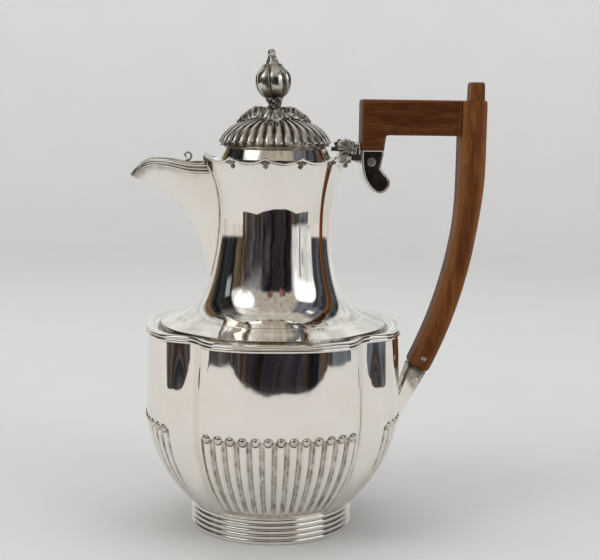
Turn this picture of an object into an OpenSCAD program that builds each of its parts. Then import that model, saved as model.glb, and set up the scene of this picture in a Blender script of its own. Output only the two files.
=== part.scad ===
/* [Body] */
// Width of the belly across two opposite panels
belly_w = 117.4; // [100:0.2:130]
// Height of the belly's top edge above the table
belly_top = 91.8; // [86:0.1:100]
// Height where the belly's upright wall starts to curve in
belly_turn = 60; // [55:1:70]
// Thickness of the silver sheet
wall = 1.1; // [0.8:0.05:1.3]
// How far the hollow corner strips dip in
strip_dip = 5; // [3:0.5:7]
// Angle that one corner strip spans
strip_a = 23; // [18:1:26]
// How much the panels' sides stand out past a true circle
panel_bulge = 1.2; // [0:0.1:2.5]

/* [Flutes] */
// Number of flutes on each panel
flutes = 13; // [9:2:15]
// Angle from one flute to the next
flute_pitch = 5.4; // [4.5:0.1:5.6]
// Depth of the groove between two flutes
flute_depth = 0.9; // [0.5:0.1:1.2]
// Height of the beads that head the flutes
bead_z = 53; // [48:1:58]
// How far a bead stands out
bead_rise = 0.7; // [0.2:0.1:1]
// Height where the flutes run out above the foot
flute_end = 15.4; // [14:0.2:18]

/* [Foot] */
// Width of the foot at the table
foot_w = 76; // [70:1:80]
// Width of the foot at its top
foot_top_w = 75.4; // [72:0.2:76]
// Height of the foot ring
foot_h = 12; // [10:0.5:14]
// Number of reeds round the foot
reeds = 5; // [3:1:6]
// How far each reed stands out
reed_rise = 0.9; // [0.4:0.1:1.2]
// Width of the opening under the foot
foot_bore = 66; // [60:1:67]
// Thickness of the base disc
base_t = 1.2; // [0.8:0.1:2]

/* [Shoulder and neck] */
// Height of the wire between belly and shoulder
wire_h = 1.6; // [1:0.1:2.4]
// How far the wire stands out
wire_rise = 0.6; // [0.3:0.1:1.2]
// Radius where the shoulder meets the neck
shoulder_r = 42; // [40:0.5:44]
// Narrowest radius of the neck
waist_r = 26.3; // [25.5:0.1:28]
// Height of the narrowest place
waist_z = 138; // [134:1:142]
// Height of the points of the scalloped rim
rim_z = 172.6; // [168:0.2:180]
// How much the lip flares out
lip_flare = 9.4; // [8.6:0.1:10]
// Angle from one point of the rim to the next
scallop_a = 26.4; // [25:0.1:27]
// Depth of the scallops
scallop_dip = 2.2; // [1.6:0.1:2.4]
// Depth of the wire that edges the rim
rim_wire_h = 1.6; // [1:0.1:2]

/* [Spout] */
// How far the tip of the spout stands from the pot's axis
spout_reach = 64.6; // [60:0.2:70]
// Depth of the spout's top edge below the rim's points
spout_drop = 4.2; // [3.6:0.1:5.6]
// Height of the point where the spout leaves the neck
spout_foot = 116; // [112:1:122]
// Half the width of the spout at the neck
spout_half_w = 12.5; // [10:0.5:14]
// Depth of the moulding along the spout's edge
spout_moulding_h = 4.2; // [3:0.2:5]

/* [Lid] */
// Width of the lid's plain band
lid_w = 51.4; // [50:0.2:52]
// Height of the lid's plain band
band_h = 5.8; // [5:0.2:6.4]
// Height of the dome above the band
dome_h = 13.2; // [11:0.2:15]
// Number of gadroons round the dome
gadroons = 34; // [24:2:40]
// Depth of the grooves between the gadroons
gadroon_depth = 0.9; // [0.4:0.1:1.1]
// Depth of the lid's seat below the rim's points
seat_drop = 2.2; // [1.8:0.1:2.8]
// Gap between the closed lid and its seat
lid_gap = 0.4; // [0.3:0.1:0.6]
// Number of leaves under the finial
leaves = 4; // [3:1:6]
// Reach of the leaves from the axis
leaf_r = 17; // [13:0.5:18]
// Thickness of the leaves
leaf_t = 0.8; // [0.6:0.1:1]
// Height that the leaves arch up
leaf_arch = 3.6; // [3:0.1:4.4]
// How far the points of the leaves droop
leaf_droop = 3.3; // [2.4:0.1:3.6]

/* [Finial] */
// Length of the stem between the leaves and the bud
stem_l = 6.7; // [5.5:0.1:9]
// Width of the bud
bud_w = 16.8; // [13:0.2:19]
// Height of the bud
bud_h = 15.4; // [13:0.2:18]
// Height of the tip above the bud
tip_h = 6.8; // [5.6:0.2:9]
// Number of lobes round the bud
bud_lobes = 6; // [5:1:10]
// Width of the threaded stud that holds the finial
stud_d = 3; // [2.5:0.5:4]
// Angle that the finial leans toward the spout
finial_lean = 4; // [0:0.5:5]

/* [Hinge] */
// Distance of the hinge pin from the pot's axis
hinge_x = 32.2; // [31.6:0.1:33]
// Height of the hinge pin above the lid's seat
hinge_rise = 6.4; // [6:0.1:7.2]
// Width of the hinge barrel
knuckle_d = 6.2; // [5.4:0.2:6.4]
// Length of the whole hinge barrel
barrel_l = 12; // [10:0.5:14]
// Width of the hinge pin
pin_d = 2.2; // [1.6:0.1:2.6]
// Running clearance round the pin in the lid's knuckle
pin_clear = 0.05; // [0.02:0.01:0.1]
// Gap between two knuckles
knuckle_gap = 0.35; // [0.3:0.05:0.5]

/* [Handle] */
// Distance of the arm's near end from the pot's axis
arm_x = 39.2; // [38.6:0.1:40.4]
// Height of the arm's underside above the socket's mouth
stub_h = 6.4; // [5:0.2:8]
// Depth of the arm, underside to top
arm_d = 16.2; // [14:0.2:18]
// Thickness of the wooden handle
wood_t = 13; // [11:0.5:15]
// How far the grip's outer face stands out past the belly
grip_out = 38.5; // [35:0.5:42]
// Depth of the grip at its top
grip_d = 12.2; // [11:0.2:13]
// Depth of the grip at its lower end
grip_end_d = 10.4; // [9:0.2:12]
// Radius of the grip's bow
grip_bow = 210; // [190:5:260]
// Height where the grip starts to bow inward
bow_z = 169; // [160:1:180]
// Height where the grip has narrowed to the depth of its lower end
slim_z = 135; // [120:1:150]
// Height of the grip's lower end
grip_end_z = 73.6; // [70:0.2:76]
// Height of the peg above the grip's top
peg_h = 8.4; // [4:0.2:12]
// Depth of the peg, side to side
peg_d = 6.8; // [5:0.2:8]

/* [Sockets] */
// Height of the upper socket's mouth above the lid's seat
socket_rise = 5.2; // [4.4:0.1:5.8]
// Depth of the upper socket's mouth, side to side
socket_d = 10.4; // [9.8:0.1:11.4]
// Depth of the upper socket's scroll below its mouth
scroll_h = 20.4; // [19:0.2:22]
// Radius of the scroll's toe
toe_r = 5; // [4.4:0.1:5.6]
// Thickness of the sockets across the pot
socket_t = 11; // [9:0.5:13]
// Height where the lower socket leaves the belly
socket_low_z = 36; // [30:1:42]
// Width of the pins that hold the wood
peg_pin_d = 2.6; // [2:0.1:3.2]
// Clearance between the wood and the sockets
wood_gap = 0.1; // [0.05:0.05:0.3]

/* [Hidden] */

eps = 0.01;
seat_gap = 0.05; // pieces that are soldered side by side
round_fn = 96;

// ---- heights that follow from the rim ----

seat_z = rim_z - seat_drop;
spout_top = rim_z - spout_drop;
hinge_z = seat_z + hinge_rise;
socket_z = seat_z + socket_rise;
arm_low = socket_z + stub_h;

// ---- curves that several pieces share ----

function smooth(t) = t <= 0 ? 0 : t >= 1 ? 1 : t * t * (3 - 2 * t);
function mix(a, b, t) = a + (b - a) * t;
function polar(r, a, z) = [r * cos(a), r * sin(a), z];
function arc(cx, cy, r, a0, a1, n) =
    [for (i = [0:n]) let(a = mix(a0, a1, i / n)) [cx + r * cos(a), cy + r * sin(a)]];

panels = 4;
panel_a = 360 / panels;
fan_a = flutes * flute_pitch / 2;      // half the angle that a panel's flutes cover
strip_steps = 6;
flute_steps = 4;
coarse_n = panels * (flutes + strip_steps);
outline_steps = 8;

// Angle away from the middle of the nearest panel
function off_panel(a) = let(m = (a + panel_a / 2 + 3600) % panel_a) m - panel_a / 2;
// Radius of the four-panelled outline: r on a panel's middle, full at f = 1, a circle at f = 0
function lobed(r, a, f) =
    let(p = off_panel(a), q = (panel_a / 2 - abs(p)) / (strip_a / 2))
    r + f * (panel_bulge * (1 - cos(panels * p)) / 2
        - (q < 1 ? (strip_dip + panel_bulge) * pow(cos(90 * q), 1.2) : 0));

// The lower belly follows an ellipse down to the foot
belly_foot_r = foot_top_w / 2 + 0.3;
belly_drop = (belly_turn - foot_h) / sqrt(1 - pow(2 * belly_foot_r / belly_w, 2));
function belly_r(z) = let(t = max(0, belly_turn - z) / belly_drop) belly_w / 2 * sqrt(1 - t * t);
function belly_slope(z) = let(t = max(0, belly_turn - z) / belly_drop)
    belly_w / 2 / belly_drop * t / sqrt(1 - t * t);
lobe_start = foot_h + 2;
lobe_full = mix(foot_h, belly_turn, 0.62);
function belly_lobing(z) = smooth((z - lobe_start) / (lobe_full - lobe_start));

wire_top = belly_top + wire_h;
roll_h = 2.2;
shoulder_rise = 3.5;
wire_r = belly_w / 2 - 0.4;
wire_in = 2.6;                   // how far the wire reaches in over the belly's edge
slope_r = wire_r - 6.9;
// Height of the shoulder's sloping part at radius r
function shoulder_z(r) =
    wire_top + roll_h + 0.3 + shoulder_rise * (slope_r - r) / (slope_r - shoulder_r);

neck_low = shoulder_z(shoulder_r);
base_sweep = 8.4;
base_turn = shoulder_r - 0.1 - waist_r - base_sweep;
lip_curve = 2.5;
sweep_h = waist_z - neck_low;
function neck_r(z) = z > waist_z
    ? waist_r + lip_flare * pow((z - waist_z) / (rim_z - waist_z), lip_curve)
    : let(u = (waist_z - z) / sweep_h) waist_r + base_sweep * pow(u, 2) + base_turn * pow(u, 8);
function neck_slope(z) = (neck_r(z + 0.01) - neck_r(z - 0.01)) / 0.02;

// ---- meshes built from rings of points ----

// Number of the first point of every ring
function starts(rings, i = 0, at = 0) =
    i == len(rings) ? [] : concat([at], starts(rings, i + 1, at + len(rings[i])));
// Faces between ring a and ring b, n points each, b above a on an outer surface
function band(a, b, n) = [for (j = [0:n - 1]) let(k = (j + 1) % n)
    each [[a + j, b + k, a + k], [a + j, b + j, b + k]]];
// The same from a coarse ring to a fine one; m[j] is the fine point that coarse point j meets
function widen(a, b, n, nb, m) = [for (j = [0:n - 1])
    let(k = (j + 1) % n, h = floor((m[j] + m[j + 1]) / 2)) each concat(
    [for (i = [m[j]:1:h - 1]) [a + j, b + i, b + (i + 1) % nb]],
    [[a + j, b + h % nb, a + k]],
    [for (i = [h:1:m[j + 1] - 1]) [a + k, b + i, b + (i + 1) % nb]])];
// And from a fine ring to a coarse one
function narrow(a, b, n, na, m) = [for (j = [0:n - 1])
    let(k = (j + 1) % n, h = floor((m[j] + m[j + 1]) / 2)) each concat(
    [for (i = [m[j]:1:h - 1]) [a + i, b + j, a + (i + 1) % na]],
    [[a + h % na, b + j, b + k]],
    [for (i = [h:1:m[j + 1] - 1]) [a + i, b + k, a + (i + 1) % na]])];
function join(a, b, na, nb, m) =
    na == nb ? band(a, b, na) : na < nb ? widen(a, b, na, nb, m) : narrow(a, b, nb, na, m);

// A closed sheet: up the outside ring by ring, then down the inside
module sheet(rings, m = []) {
    at = starts(rings);
    n = len(rings);
    polyhedron(
        points = [for (r = rings) each r],
        faces = [for (i = [0:n - 1]) let(k = (i + 1) % n)
            each join(at[i], at[k], len(rings[i]), len(rings[k]), m)],
        convexity = 8);
}

// A solid through equal rings, closed by flat ends
module solid(rings) {
    n = len(rings[0]);
    last = len(rings) - 1;
    polyhedron(
        points = [for (r = rings) each r],
        faces = concat(
            [for (i = [0:last - 1]) each band(i * n, (i + 1) * n, n)],
            [[for (j = [0:n - 1]) j]],
            [[for (j = [n - 1:-1:0]) last * n + j]]),
        convexity = 8);
}

// ---- body ----

module foot_ring() {
    pitch = foot_h / reeds;
    reed_r = 0.48 * pitch;
    function side(z) = mix(foot_w / 2, foot_top_w / 2, z / foot_h) - reed_rise;
    color("silver")
        rotate_extrude($fn = round_fn)
            polygon(concat(
                [[foot_bore / 2, 0], [side(0), 0]],
                [for (i = [0:reeds - 1], s = [0:5]) let(a = -90 + 180 * s / 5, z = pitch * (i + 0.5))
                    [side(z) + reed_rise * cos(a), z + reed_r * sin(a)]],
                [[side(foot_h), foot_h], [foot_bore / 2, foot_h]]));
}

base_r = belly_r(foot_h) - wall * sqrt(1 + pow(belly_slope(foot_h), 2)) - flute_depth - 0.2;
module base_disc() {
    dish = 1.5;
    dish_r = base_r * 0.6;
    rim_r = base_r - 3;
    color("silver")
        rotate_extrude($fn = round_fn)
            polygon([[0, foot_h + dish], [dish_r, foot_h + dish], [rim_r, foot_h],
                [base_r, foot_h], [base_r, foot_h + base_t], [rim_r, foot_h + base_t],
                [dish_r, foot_h + dish + base_t], [0, foot_h + dish + base_t]]);
}

// Points round the belly: at every groove, and at quarters of every flute
coarse_a = [for (q = [0:panels - 1]) each concat(
    [for (s = [0:flutes - 1]) q * panel_a - fan_a + s * flute_pitch],
    [for (s = [0:strip_steps - 1]) q * panel_a + fan_a + s * (panel_a - 2 * fan_a) / strip_steps])];
fine_a = [for (q = [0:panels - 1]) each concat(
    [for (s = [0:flutes * flute_steps - 1]) q * panel_a - fan_a + s * flute_pitch / flute_steps],
    [for (s = [0:strip_steps - 1]) q * panel_a + fan_a + s * (panel_a - 2 * fan_a) / strip_steps])];
fine_per = flutes * flute_steps + strip_steps;
coarse_per = flutes + strip_steps;
flute_map = [for (j = [0:coarse_n]) let(q = floor(j / coarse_per), s = j % coarse_per)
    q * fine_per + (s < flutes ? s * flute_steps : flutes * flute_steps + s - flutes)];

// How full a flute's round section is at angle a: 1 on its crest, 0 in the groove
function rib(a) = let(p = off_panel(a), u = (p + fan_a) / flute_pitch, v = 2 * (u - floor(u)) - 1)
    abs(p) > fan_a - eps ? 0 : sqrt(max(0, 1 - v * v));
function fluted(a) = abs(off_panel(a)) < fan_a + eps ? 1 : 0;
// Outer radius of the belly; g deepens the grooves and b raises the beads, both 0 to 1
function belly_skin(a, z, g, b) =
    lobed(belly_r(z), a, belly_lobing(z))
        - fluted(a) * g * flute_depth * (1 - rib(a)) + b * bead_rise * rib(a);

module belly() {
    bead_r = belly_w / 2 * flute_pitch * PI / 360;
    head_z = bead_z - bead_r;
    over_z = bead_z + bead_r;
    // height, depth of the grooves and rise of the beads, both as a share of their full size
    fluted_rows = [[flute_end, 0, 0], [mix(flute_end, head_z, 0.09), 0.7, 0],
        [mix(flute_end, head_z, 0.28), 1, 0], [mix(flute_end, head_z, 0.5), 1, 0],
        [mix(flute_end, head_z, 0.76), 1, 0], [head_z, 1, 0],
        [bead_z - 0.2, 1, 1], [bead_z + bead_r * 0.7, 0.7, 0.6], [over_z + 0.4, 0, 0]];
    plain_rows = [mix(over_z, belly_top, 0.14), mix(over_z, belly_top, 0.5), belly_top];
    inner_rows = concat([belly_top, mix(belly_turn, belly_top, 0.3)],
        [for (t = [0.8, 0.54, 0.29, 0.12, 0]) mix(foot_h, belly_turn, t)]);
    function inner_r(a, z) = lobed(belly_r(z) - wall * sqrt(1 + pow(belly_slope(z), 2))
        - flute_depth * (z < belly_turn ? 1 : 0), a, belly_lobing(z));
    function plain_ring(z) = [for (a = coarse_a) polar(lobed(belly_r(z), a, belly_lobing(z)), a, z)];
    color("silver")
        sheet(concat(
            [plain_ring(foot_h)],
            [for (w = fluted_rows) [for (a = fine_a) polar(belly_skin(a, w[0], w[1], w[2]), a, w[0])]],
            [for (z = plain_rows) plain_ring(z)],
            [for (z = inner_rows) [for (a = coarse_a) polar(inner_r(a, z), a, z)]]),
            flute_map);
}

// Points round the outline where no flutes need them
outline_a = [for (q = [0:panels - 1]) each concat(
    [for (s = [0:outline_steps - 1]) q * panel_a - fan_a + s * 2 * fan_a / outline_steps],
    [for (s = [0:strip_steps - 1]) q * panel_a + fan_a + s * (panel_a - 2 * fan_a) / strip_steps])];

module shoulder_wire() {
    section = [[-wire_in, 0], [wire_rise * 0.6, 0], [wire_rise, wire_h * 0.35], [wire_rise, wire_h * 0.65],
        [wire_rise * 0.6, wire_h], [-wire_in, wire_h]];
    color("silver")
        sheet([for (p = section)
            [for (a = outline_a) polar(lobed(wire_r, a, 1) + p[0], a, belly_top + p[1])]]);
}

module shoulder() {
    r = wire_r;
    function slope(t) = let(at = mix(slope_r, shoulder_r + 0.8, t))
        [at, shoulder_z(at) - wire_top, 0.7 * (1 - t)];
    // radius, height and lobing up the outside: the roll, the groove, then the slope to the neck
    outside = [[r + 0.1, 0, 1], [r + 0.2, roll_h * 0.5, 1], [r - 0.8, roll_h * 0.88, 1],
        [r - 2.4, roll_h, 0.95], [r - 4.2, roll_h * 0.8, 0.9], [r - 5.4, roll_h * 0.5, 0.85],
        [r - 6.2, roll_h * 0.6, 0.8], slope(0), slope(0.3), slope(0.65),
        [shoulder_r + 0.8, neck_low - wire_top, 0]];
    middle = slope(0.5);
    inside = [[shoulder_r - 1.6, neck_low - wire_top, 0], [middle[0], middle[1] - wall * 1.2, middle[2]],
        [r - 6.5, roll_h * 0.5 - wall, 0.85], [r - wire_in, 0, 1]];
    color("silver")
        sheet([for (p = concat(outside, inside))
            [for (a = outline_a) polar(lobed(p[0], a, p[2]), a, wire_top + p[1])]]);
}

// ---- neck and rim ----

neck_rows = 22;
function neck_rows_z() = [for (i = [0:neck_rows]) mix(neck_low, rim_z, i / neck_rows)];
// Point on the neck's inner face, one wall in from the outer face at height z
function neck_inner(z) = let(s = neck_slope(z), k = wall / sqrt(1 + s * s)) [neck_r(z) - k, z + k * s];

scallop_half = neck_r(rim_z) * sin(scallop_a / 2);
scallop_r = (pow(scallop_half, 2) + pow(scallop_dip, 2)) / (2 * scallop_dip);
scallops = ceil(180 / scallop_a);
// Round cutters that bite one scallop each
module scallop_cutters() {
    for (side = [-1, 1], k = [0:scallops - 1])
        rotate([0, 0, 180 + side * (k + 0.5) * scallop_a])
            translate([waist_r - 4, 0, rim_z - scallop_dip + scallop_r])
                rotate([0, 90, 0])
                    cylinder(r = scallop_r, h = 20, $fn = round_fn);
}

notch_w = barrel_l + 0.4;
module hinge_notch() {
    translate([waist_r, -notch_w / 2, seat_z])
        cube([20, notch_w, 20]);
}

// Half-width of the spout and its height at the neck, v = 0 at the foot to 1 at the top edge
keel_curve = 1.1;
wall_curve = 1.4;
function root_half(v, inset) = (spout_half_w - inset) * pow(abs(v), keel_curve);
function root_z(v, inset) = mix(spout_foot + 3 * inset, spout_top, pow(abs(v), wall_curve));
module spout_gap() {
    side = [for (i = [0:6]) let(v = i / 6) [root_half(v, wall), root_z(v, wall)]];
    translate([-waist_r + 8, 0, 0])
        rotate([90, 0, -90])
            linear_extrude(30)
                polygon(concat(side, [[side[6][0], rim_z + 10], [-side[6][0], rim_z + 10]],
                    [for (i = [6:-1:1]) [-side[i][0], side[i][1]]]));
}

module neck() {
    foot_t = 2.4;
    color("silver")
        difference() {
            rotate_extrude($fn = round_fn)
                polygon(concat(
                    [for (z = neck_rows_z()) [neck_r(z), z]],
                    [for (i = [neck_rows:-1:1]) neck_inner(neck_rows_z()[i])],
                    [[neck_r(neck_low) - foot_t, neck_low]]));
            scallop_cutters();
            hinge_notch();
            spout_gap();
        }
}

// Height of the rim at angle a from the spout
function rim_height(a) = let(off = a - (floor(a / scallop_a) + 0.5) * scallop_a)
    rim_z - scallop_dip + scallop_r - sqrt(max(0, pow(scallop_r, 2) - pow(neck_r(rim_z) * sin(off), 2)));

rim_wire_rise = 0.75;
// A wire below the rim on each side, from the spout round to the hinge
module rim_wire() {
    step = scallop_a / 6;
    from = asin((spout_half_w + 1) / neck_r(rim_z));
    to = 180 - asin((barrel_l / 2 + 1) / neck_r(rim_z));
    stations = concat([to], [for (k = [floor(to / step):-1:ceil(from / step)]) k * step], [from]);
    section = [[0, -0.1], [0.6, -0.1], [1, 0.35], [0.8, 0.8], [0, 1]];
    rings = [for (a = stations) [for (p = section) let(z = rim_height(a) - p[1] * rim_wire_h)
        polar(neck_r(z) + 2 * seat_gap + p[0] * rim_wire_rise, 180 - a, z)]];
    color("silver")
        for (side = [0, 1])
            mirror([0, side, 0])
                solid(rings);
}

// A small pendant leaf below every point of the rim
module rim_shells() {
    leaf_z = rim_z - rim_wire_h - 0.6;
    color("silver")
        for (side = [-1, 1], k = [1:scallops - 1])
            rotate([0, 0, 180 + side * k * scallop_a])
                translate([neck_r(leaf_z) + 4 * seat_gap, 0, leaf_z])
                    rotate([0, atan(neck_slope(leaf_z)), 0])
                        pendant();
}

pendant_l = 3.6;
pendant_w = 2.4;
module pendant() {
    // half outline, a share of the width by a share of the length
    half = [[0.35, 0.1], [1, -0.12], [0.7, -0.5], [0.3, -0.8]];
    outline = concat([[0, 0.16]], [for (p = half) [-p[0], p[1]]], [[0, -1]], [for (i = [3:-1:0]) half[i]]);
    solid([for (h = [[0, 1], [0.35, 1], [0.8, 0.45]])
        [for (p = outline)
            [h[0], p[0] * h[1] * pendant_w / 2, (p[1] * h[1] - 0.3 * (1 - h[1])) * pendant_l]]]);
}

// ---- spout ----

nose_1 = [-35.5, 140];
nose_2 = [-38.5, 151.5];
tip_drop = 7;
function bezier(a, b, c, d, t) =
    pow(1 - t, 3) * a + 3 * pow(1 - t, 2) * t * b + 3 * (1 - t) * t * t * c + pow(t, 3) * d;
function edge_x(s) = mix(-sqrt(pow(neck_r(spout_top), 2) - pow(spout_half_w, 2)), -spout_reach, s);
function edge_z(s) = spout_top + 1.7 * smooth((s - 0.2) / 0.4) - tip_drop * pow(max(0, (s - 0.72) / 0.28), 2);
function edge_w(s) = mix(spout_half_w, 1.4, pow(s, 1.8));
function nose(s) =
    bezier([-neck_r(spout_foot), spout_foot], nose_1, nose_2, [-spout_reach + 1, edge_z(1) - 1.6], s);
// A point of the spout's wall: s along it from neck to tip, v across it from -1 to 1, inset by its wall
function spout_point(s, v, inset) =
    let(n = nose(s), e = [edge_x(s), edge_z(s)], floor_h = min(0.75, 1.3 * inset / norm(e - n)),
        h = floor_h + (1 - floor_h) * pow(abs(v), wall_curve),
        y = max(0.15, edge_w(s) - inset) * pow(abs(v), keel_curve) * sign(v),
        p = n + (e - n) * h,
        rz = root_z(v, inset), ry = root_half(v, inset) * sign(v),
        rx = -sqrt(pow(neck_r(rz) + seat_gap, 2) - ry * ry), w = pow(1 - s, 4))
    s == 0 ? [rx, ry, rz] : [p[0] + w * (rx - mix(-neck_r(spout_foot), edge_x(0), h)), y, p[1]];

spout_rows = 13;
spout_cols = 5;
module spout() {
    across = [for (i = [spout_cols:-1:-spout_cols]) i / spout_cols];
    n = 2 * len(across);
    rings = [for (i = [0:spout_rows]) let(s = i / spout_rows) concat(
        [for (v = across) spout_point(s, v, 0)],
        [for (i = [len(across) - 1:-1:0]) spout_point(s, across[i], wall)])];
    last = spout_rows * n;
    color("silver")
        polyhedron(
            points = [for (r = rings) each r],
            faces = concat(
                [for (i = [0:spout_rows - 1]) each band(i * n, (i + 1) * n, n)],
                [for (j = [0:n / 2 - 2]) each [[j, j + 1, n - 2 - j], [j, n - 2 - j, n - 1 - j]]],
                [for (j = [0:n / 2 - 2]) each [[last + j, last + n - 2 - j, last + j + 1],
                    [last + j, last + n - 1 - j, last + n - 2 - j]]]),
            convexity = 8);
}

// Three reeds that follow the spout's edge from one side of the neck round the tip to the other
module spout_moulding() {
    reach = [for (i = [0:14]) let(t = mix(0.03, 1, i / 14)) 1 - pow(1 - t, 1.4)];
    path = concat([for (t = reach) [t, 1]], [for (i = [14:-1:0]) [reach[i], -1]]);
    // how far out, and how far down the spout's side: below 0 lies above its edge
    section = [[0.2, -0.35], [0.75, -0.35], [1.05, 0.1], [0.5, 0.27], [0.9, 0.42], [0.5, 0.58], [0.75, 0.8],
        [0.3, 1]];
    function at(q) = let(p = spout_point(q[0], q[1], 0)) [p[0], p[1]];
    function out(i) = let(a = at(path[max(0, i - 1)]), b = at(path[min(len(path) - 1, i + 1)]),
        d = (b - a) / norm(b - a)) [d[1], -d[0]];
    function depth(s) = mix(spout_moulding_h, 1.5, pow(s, 3));
    // the moulding stands a little further off where it turns round the tip
    function off(s) = 0.45 * smooth((s - 0.85) / 0.1);
    rings = [for (i = [0:len(path) - 1]) let(
            q = path[i], o = out(i), top = spout_point(q[0], q[1], 0),
            n = nose(q[0]), e = [edge_x(q[0]), edge_z(q[0])], drop = min(0.8, depth(q[0]) / norm(e - n)),
            low = spout_point(q[0], q[1] * pow(1 - drop, 1 / wall_curve), 0))
        [for (p = section) (p[1] < 0 ? top - [0, 0, p[1]] : mix(top, low, p[1]))
            + (p[0] + off(q[0])) * [o[0], o[1], 0]]];
    color("silver")
        solid(rings);
}

// A small open curl on one edge of the spout, near the neck
curl_s = 0.27;
curl_r = 2.2;
curl_wire = 0.5;
module spout_curl() {
    from = -110;
    to = 250;
    n = 12;
    y = edge_w(curl_s) - wall / 2;
    z = edge_z(curl_s) + curl_r + curl_wire + seat_gap;
    color("silver")
        solid([for (i = [0:n])
            let(a = mix(from, to, i / n), w = curl_wire * mix(1, 0.7, i / n), r = curl_r * mix(1, 0.4, i / n))
            [for (p = [[1, 0], [0, 1.4], [-1, 0], [0, -1.4]])
                [edge_x(curl_s) + (r + p[0] * w) * cos(a), y + p[1] * w, z + (r + p[0] * w) * sin(a)]]]);
}

// ---- lid seat and hinge ----

collar_r = lid_w / 2 - 2.4;
collar_h = 5;
seat_t = 0.9;
module lid_seat() {
    function edge(z) = neck_inner_r(z) - seat_gap;
    color("silver")
        rotate_extrude($fn = round_fn)
            polygon([[collar_r, seat_z - collar_h], [collar_r + seat_t, seat_z - collar_h],
                [collar_r + seat_t, seat_z - seat_t], [edge(seat_z - seat_t), seat_z - seat_t],
                [edge(seat_z), seat_z], [collar_r, seat_z]]);
}
function neck_inner_r(z) = neck_r(z) - wall * sqrt(1 + pow(neck_slope(z), 2));

plate_t = 2.9;
leaf_l = barrel_l / 3 - 2 * knuckle_gap / 3;
module hinge_plate() {
    ear_w = (barrel_l - leaf_l) / 2 - knuckle_gap;
    color("silver")
        difference() {
            union() {
                translate([hinge_x - knuckle_d / 2, -barrel_l / 2, seat_z])
                    cube([arm_x - hinge_x + knuckle_d / 2, barrel_l, plate_t]);
                for (side = [-1, 1])
                    translate([hinge_x, side * (barrel_l - ear_w) / 2, 0]) {
                        translate([0, ear_w / 2, hinge_z])
                            rotate([90, 0, 0])
                                cylinder(d = knuckle_d, h = ear_w, $fn = 48);
                        translate([-knuckle_d * 0.35, -ear_w / 2, seat_z + plate_t - eps])
                            cube([knuckle_d * 0.7, ear_w, hinge_z - seat_z - plate_t]);
                    }
            }
            translate([hinge_x, barrel_l, hinge_z])
                rotate([90, 0, 0])
                    cylinder(d = pin_d, h = 2 * barrel_l, $fn = 48);
        }
}

module hinge_pin() {
    color("gray")
        translate([hinge_x, barrel_l / 2, hinge_z])
            rotate([90, 0, 0])
                cylinder(d = pin_d, h = barrel_l, $fn = 48);
}

// A ribbed shell on each end of the hinge
shell_w = 9.2;
shell_h = 6.6;
shell_d = 2.4;
module hinge_shells() {
    ribs = 9;
    function rib_depth(i) = i % 2 == 0 ? 1 : 0.88;
    color("silver")
        for (side = [0, 1])
            mirror([0, side, 0])
                translate([hinge_x, barrel_l / 2 + seat_gap, hinge_z])
                    solid([for (t = [0, 0.35, 0.7, 1])
                        [for (i = [2 * ribs - 1:-1:0])
                            let(a = 180 * i / ribs, k = rib_depth(i) * pow(cos(84 * t), 0.7))
                            [shell_w / 2 * k * cos(a), shell_d * t, shell_h / 2 * k * sin(a)]]]);
}

// ---- lid ----

band_z = seat_z + lid_gap;
band_top = band_z + band_h;
band_t = 1.2;
ledge = 1.1;
module lid_band() {
    r = lid_w / 2;
    color("silver")
        rotate_extrude($fn = round_fn)
            polygon([[r - band_t - ledge, band_z], [r, band_z], [r, band_top], [r - band_t, band_top],
                [r - band_t, band_z + ledge], [r - band_t - ledge, band_z + ledge]]);
}

bezel_clear = 0.4;
bezel_drop = 2.8;
bezel_taper = 0.7;
module lid_bezel() {
    r = collar_r - bezel_clear;
    t = 0.9;
    color("silver")
        rotate_extrude($fn = round_fn)
            polygon([[r - t - bezel_taper, band_z - bezel_drop], [r - bezel_taper, band_z - bezel_drop],
                [r, band_z + ledge], [lid_w / 2 - band_t - seat_gap, band_z + ledge],
                [lid_w / 2 - band_t - seat_gap, band_z + ledge + t], [r - t, band_z + ledge + t]]);
}

dome_over = 0.3;
stud_clear = 0.3;
land_r = 6;
// Dome's outline by angle: 0 at its edge, 90 at the top
function dome_r(t) = (lid_w / 2 + dome_over - 0.5) * cos(t);
function dome_z(t) = band_top + 0.5 + dome_h * sin(t);
gadroon_steps = 4;
module lid_dome() {
    fine_n = gadroons * gadroon_steps;
    pitch = 360 / gadroons;
    bore = stud_d / 2 + stud_clear;
    inset = wall + gadroon_depth;
    top_z = dome_z(90);
    function rise(a) = let(u = a / pitch, v = 2 * (u - floor(u)) - 1) 1 - sqrt(max(0, 1 - v * v));
    rows = [[3, 0.5], [9, 1], [22, 1], [38, 0.9], [54, 0.75], [68, 0.5]];
    inside = [74, 55, 35, 12];
    m = [for (j = [0:gadroons]) j * gadroon_steps];
    coarse = [for (j = [0:gadroons - 1]) j * pitch];
    fine = [for (j = [0:fine_n - 1]) j * pitch / gadroon_steps];
    function ring(r, z) = [for (a = coarse) polar(r, a, z)];
    color("silver")
        sheet(concat(
            [ring(lid_w / 2 - band_t, band_top), ring(lid_w / 2, band_top)],
            [for (w = rows) [for (a = fine) let(d = w[1] * gadroon_depth * rise(a))
                polar(dome_r(w[0]) - d * cos(w[0]), a, dome_z(w[0]) - d * sin(w[0]))]],
            [ring(land_r, top_z), ring(bore, top_z)],
            [ring(bore, top_z - wall), ring(land_r - 1, top_z - wall)],
            [for (t = inside) ring(dome_r(t) - inset * cos(t), dome_z(t) - inset * sin(t))]),
            m);
}

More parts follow.
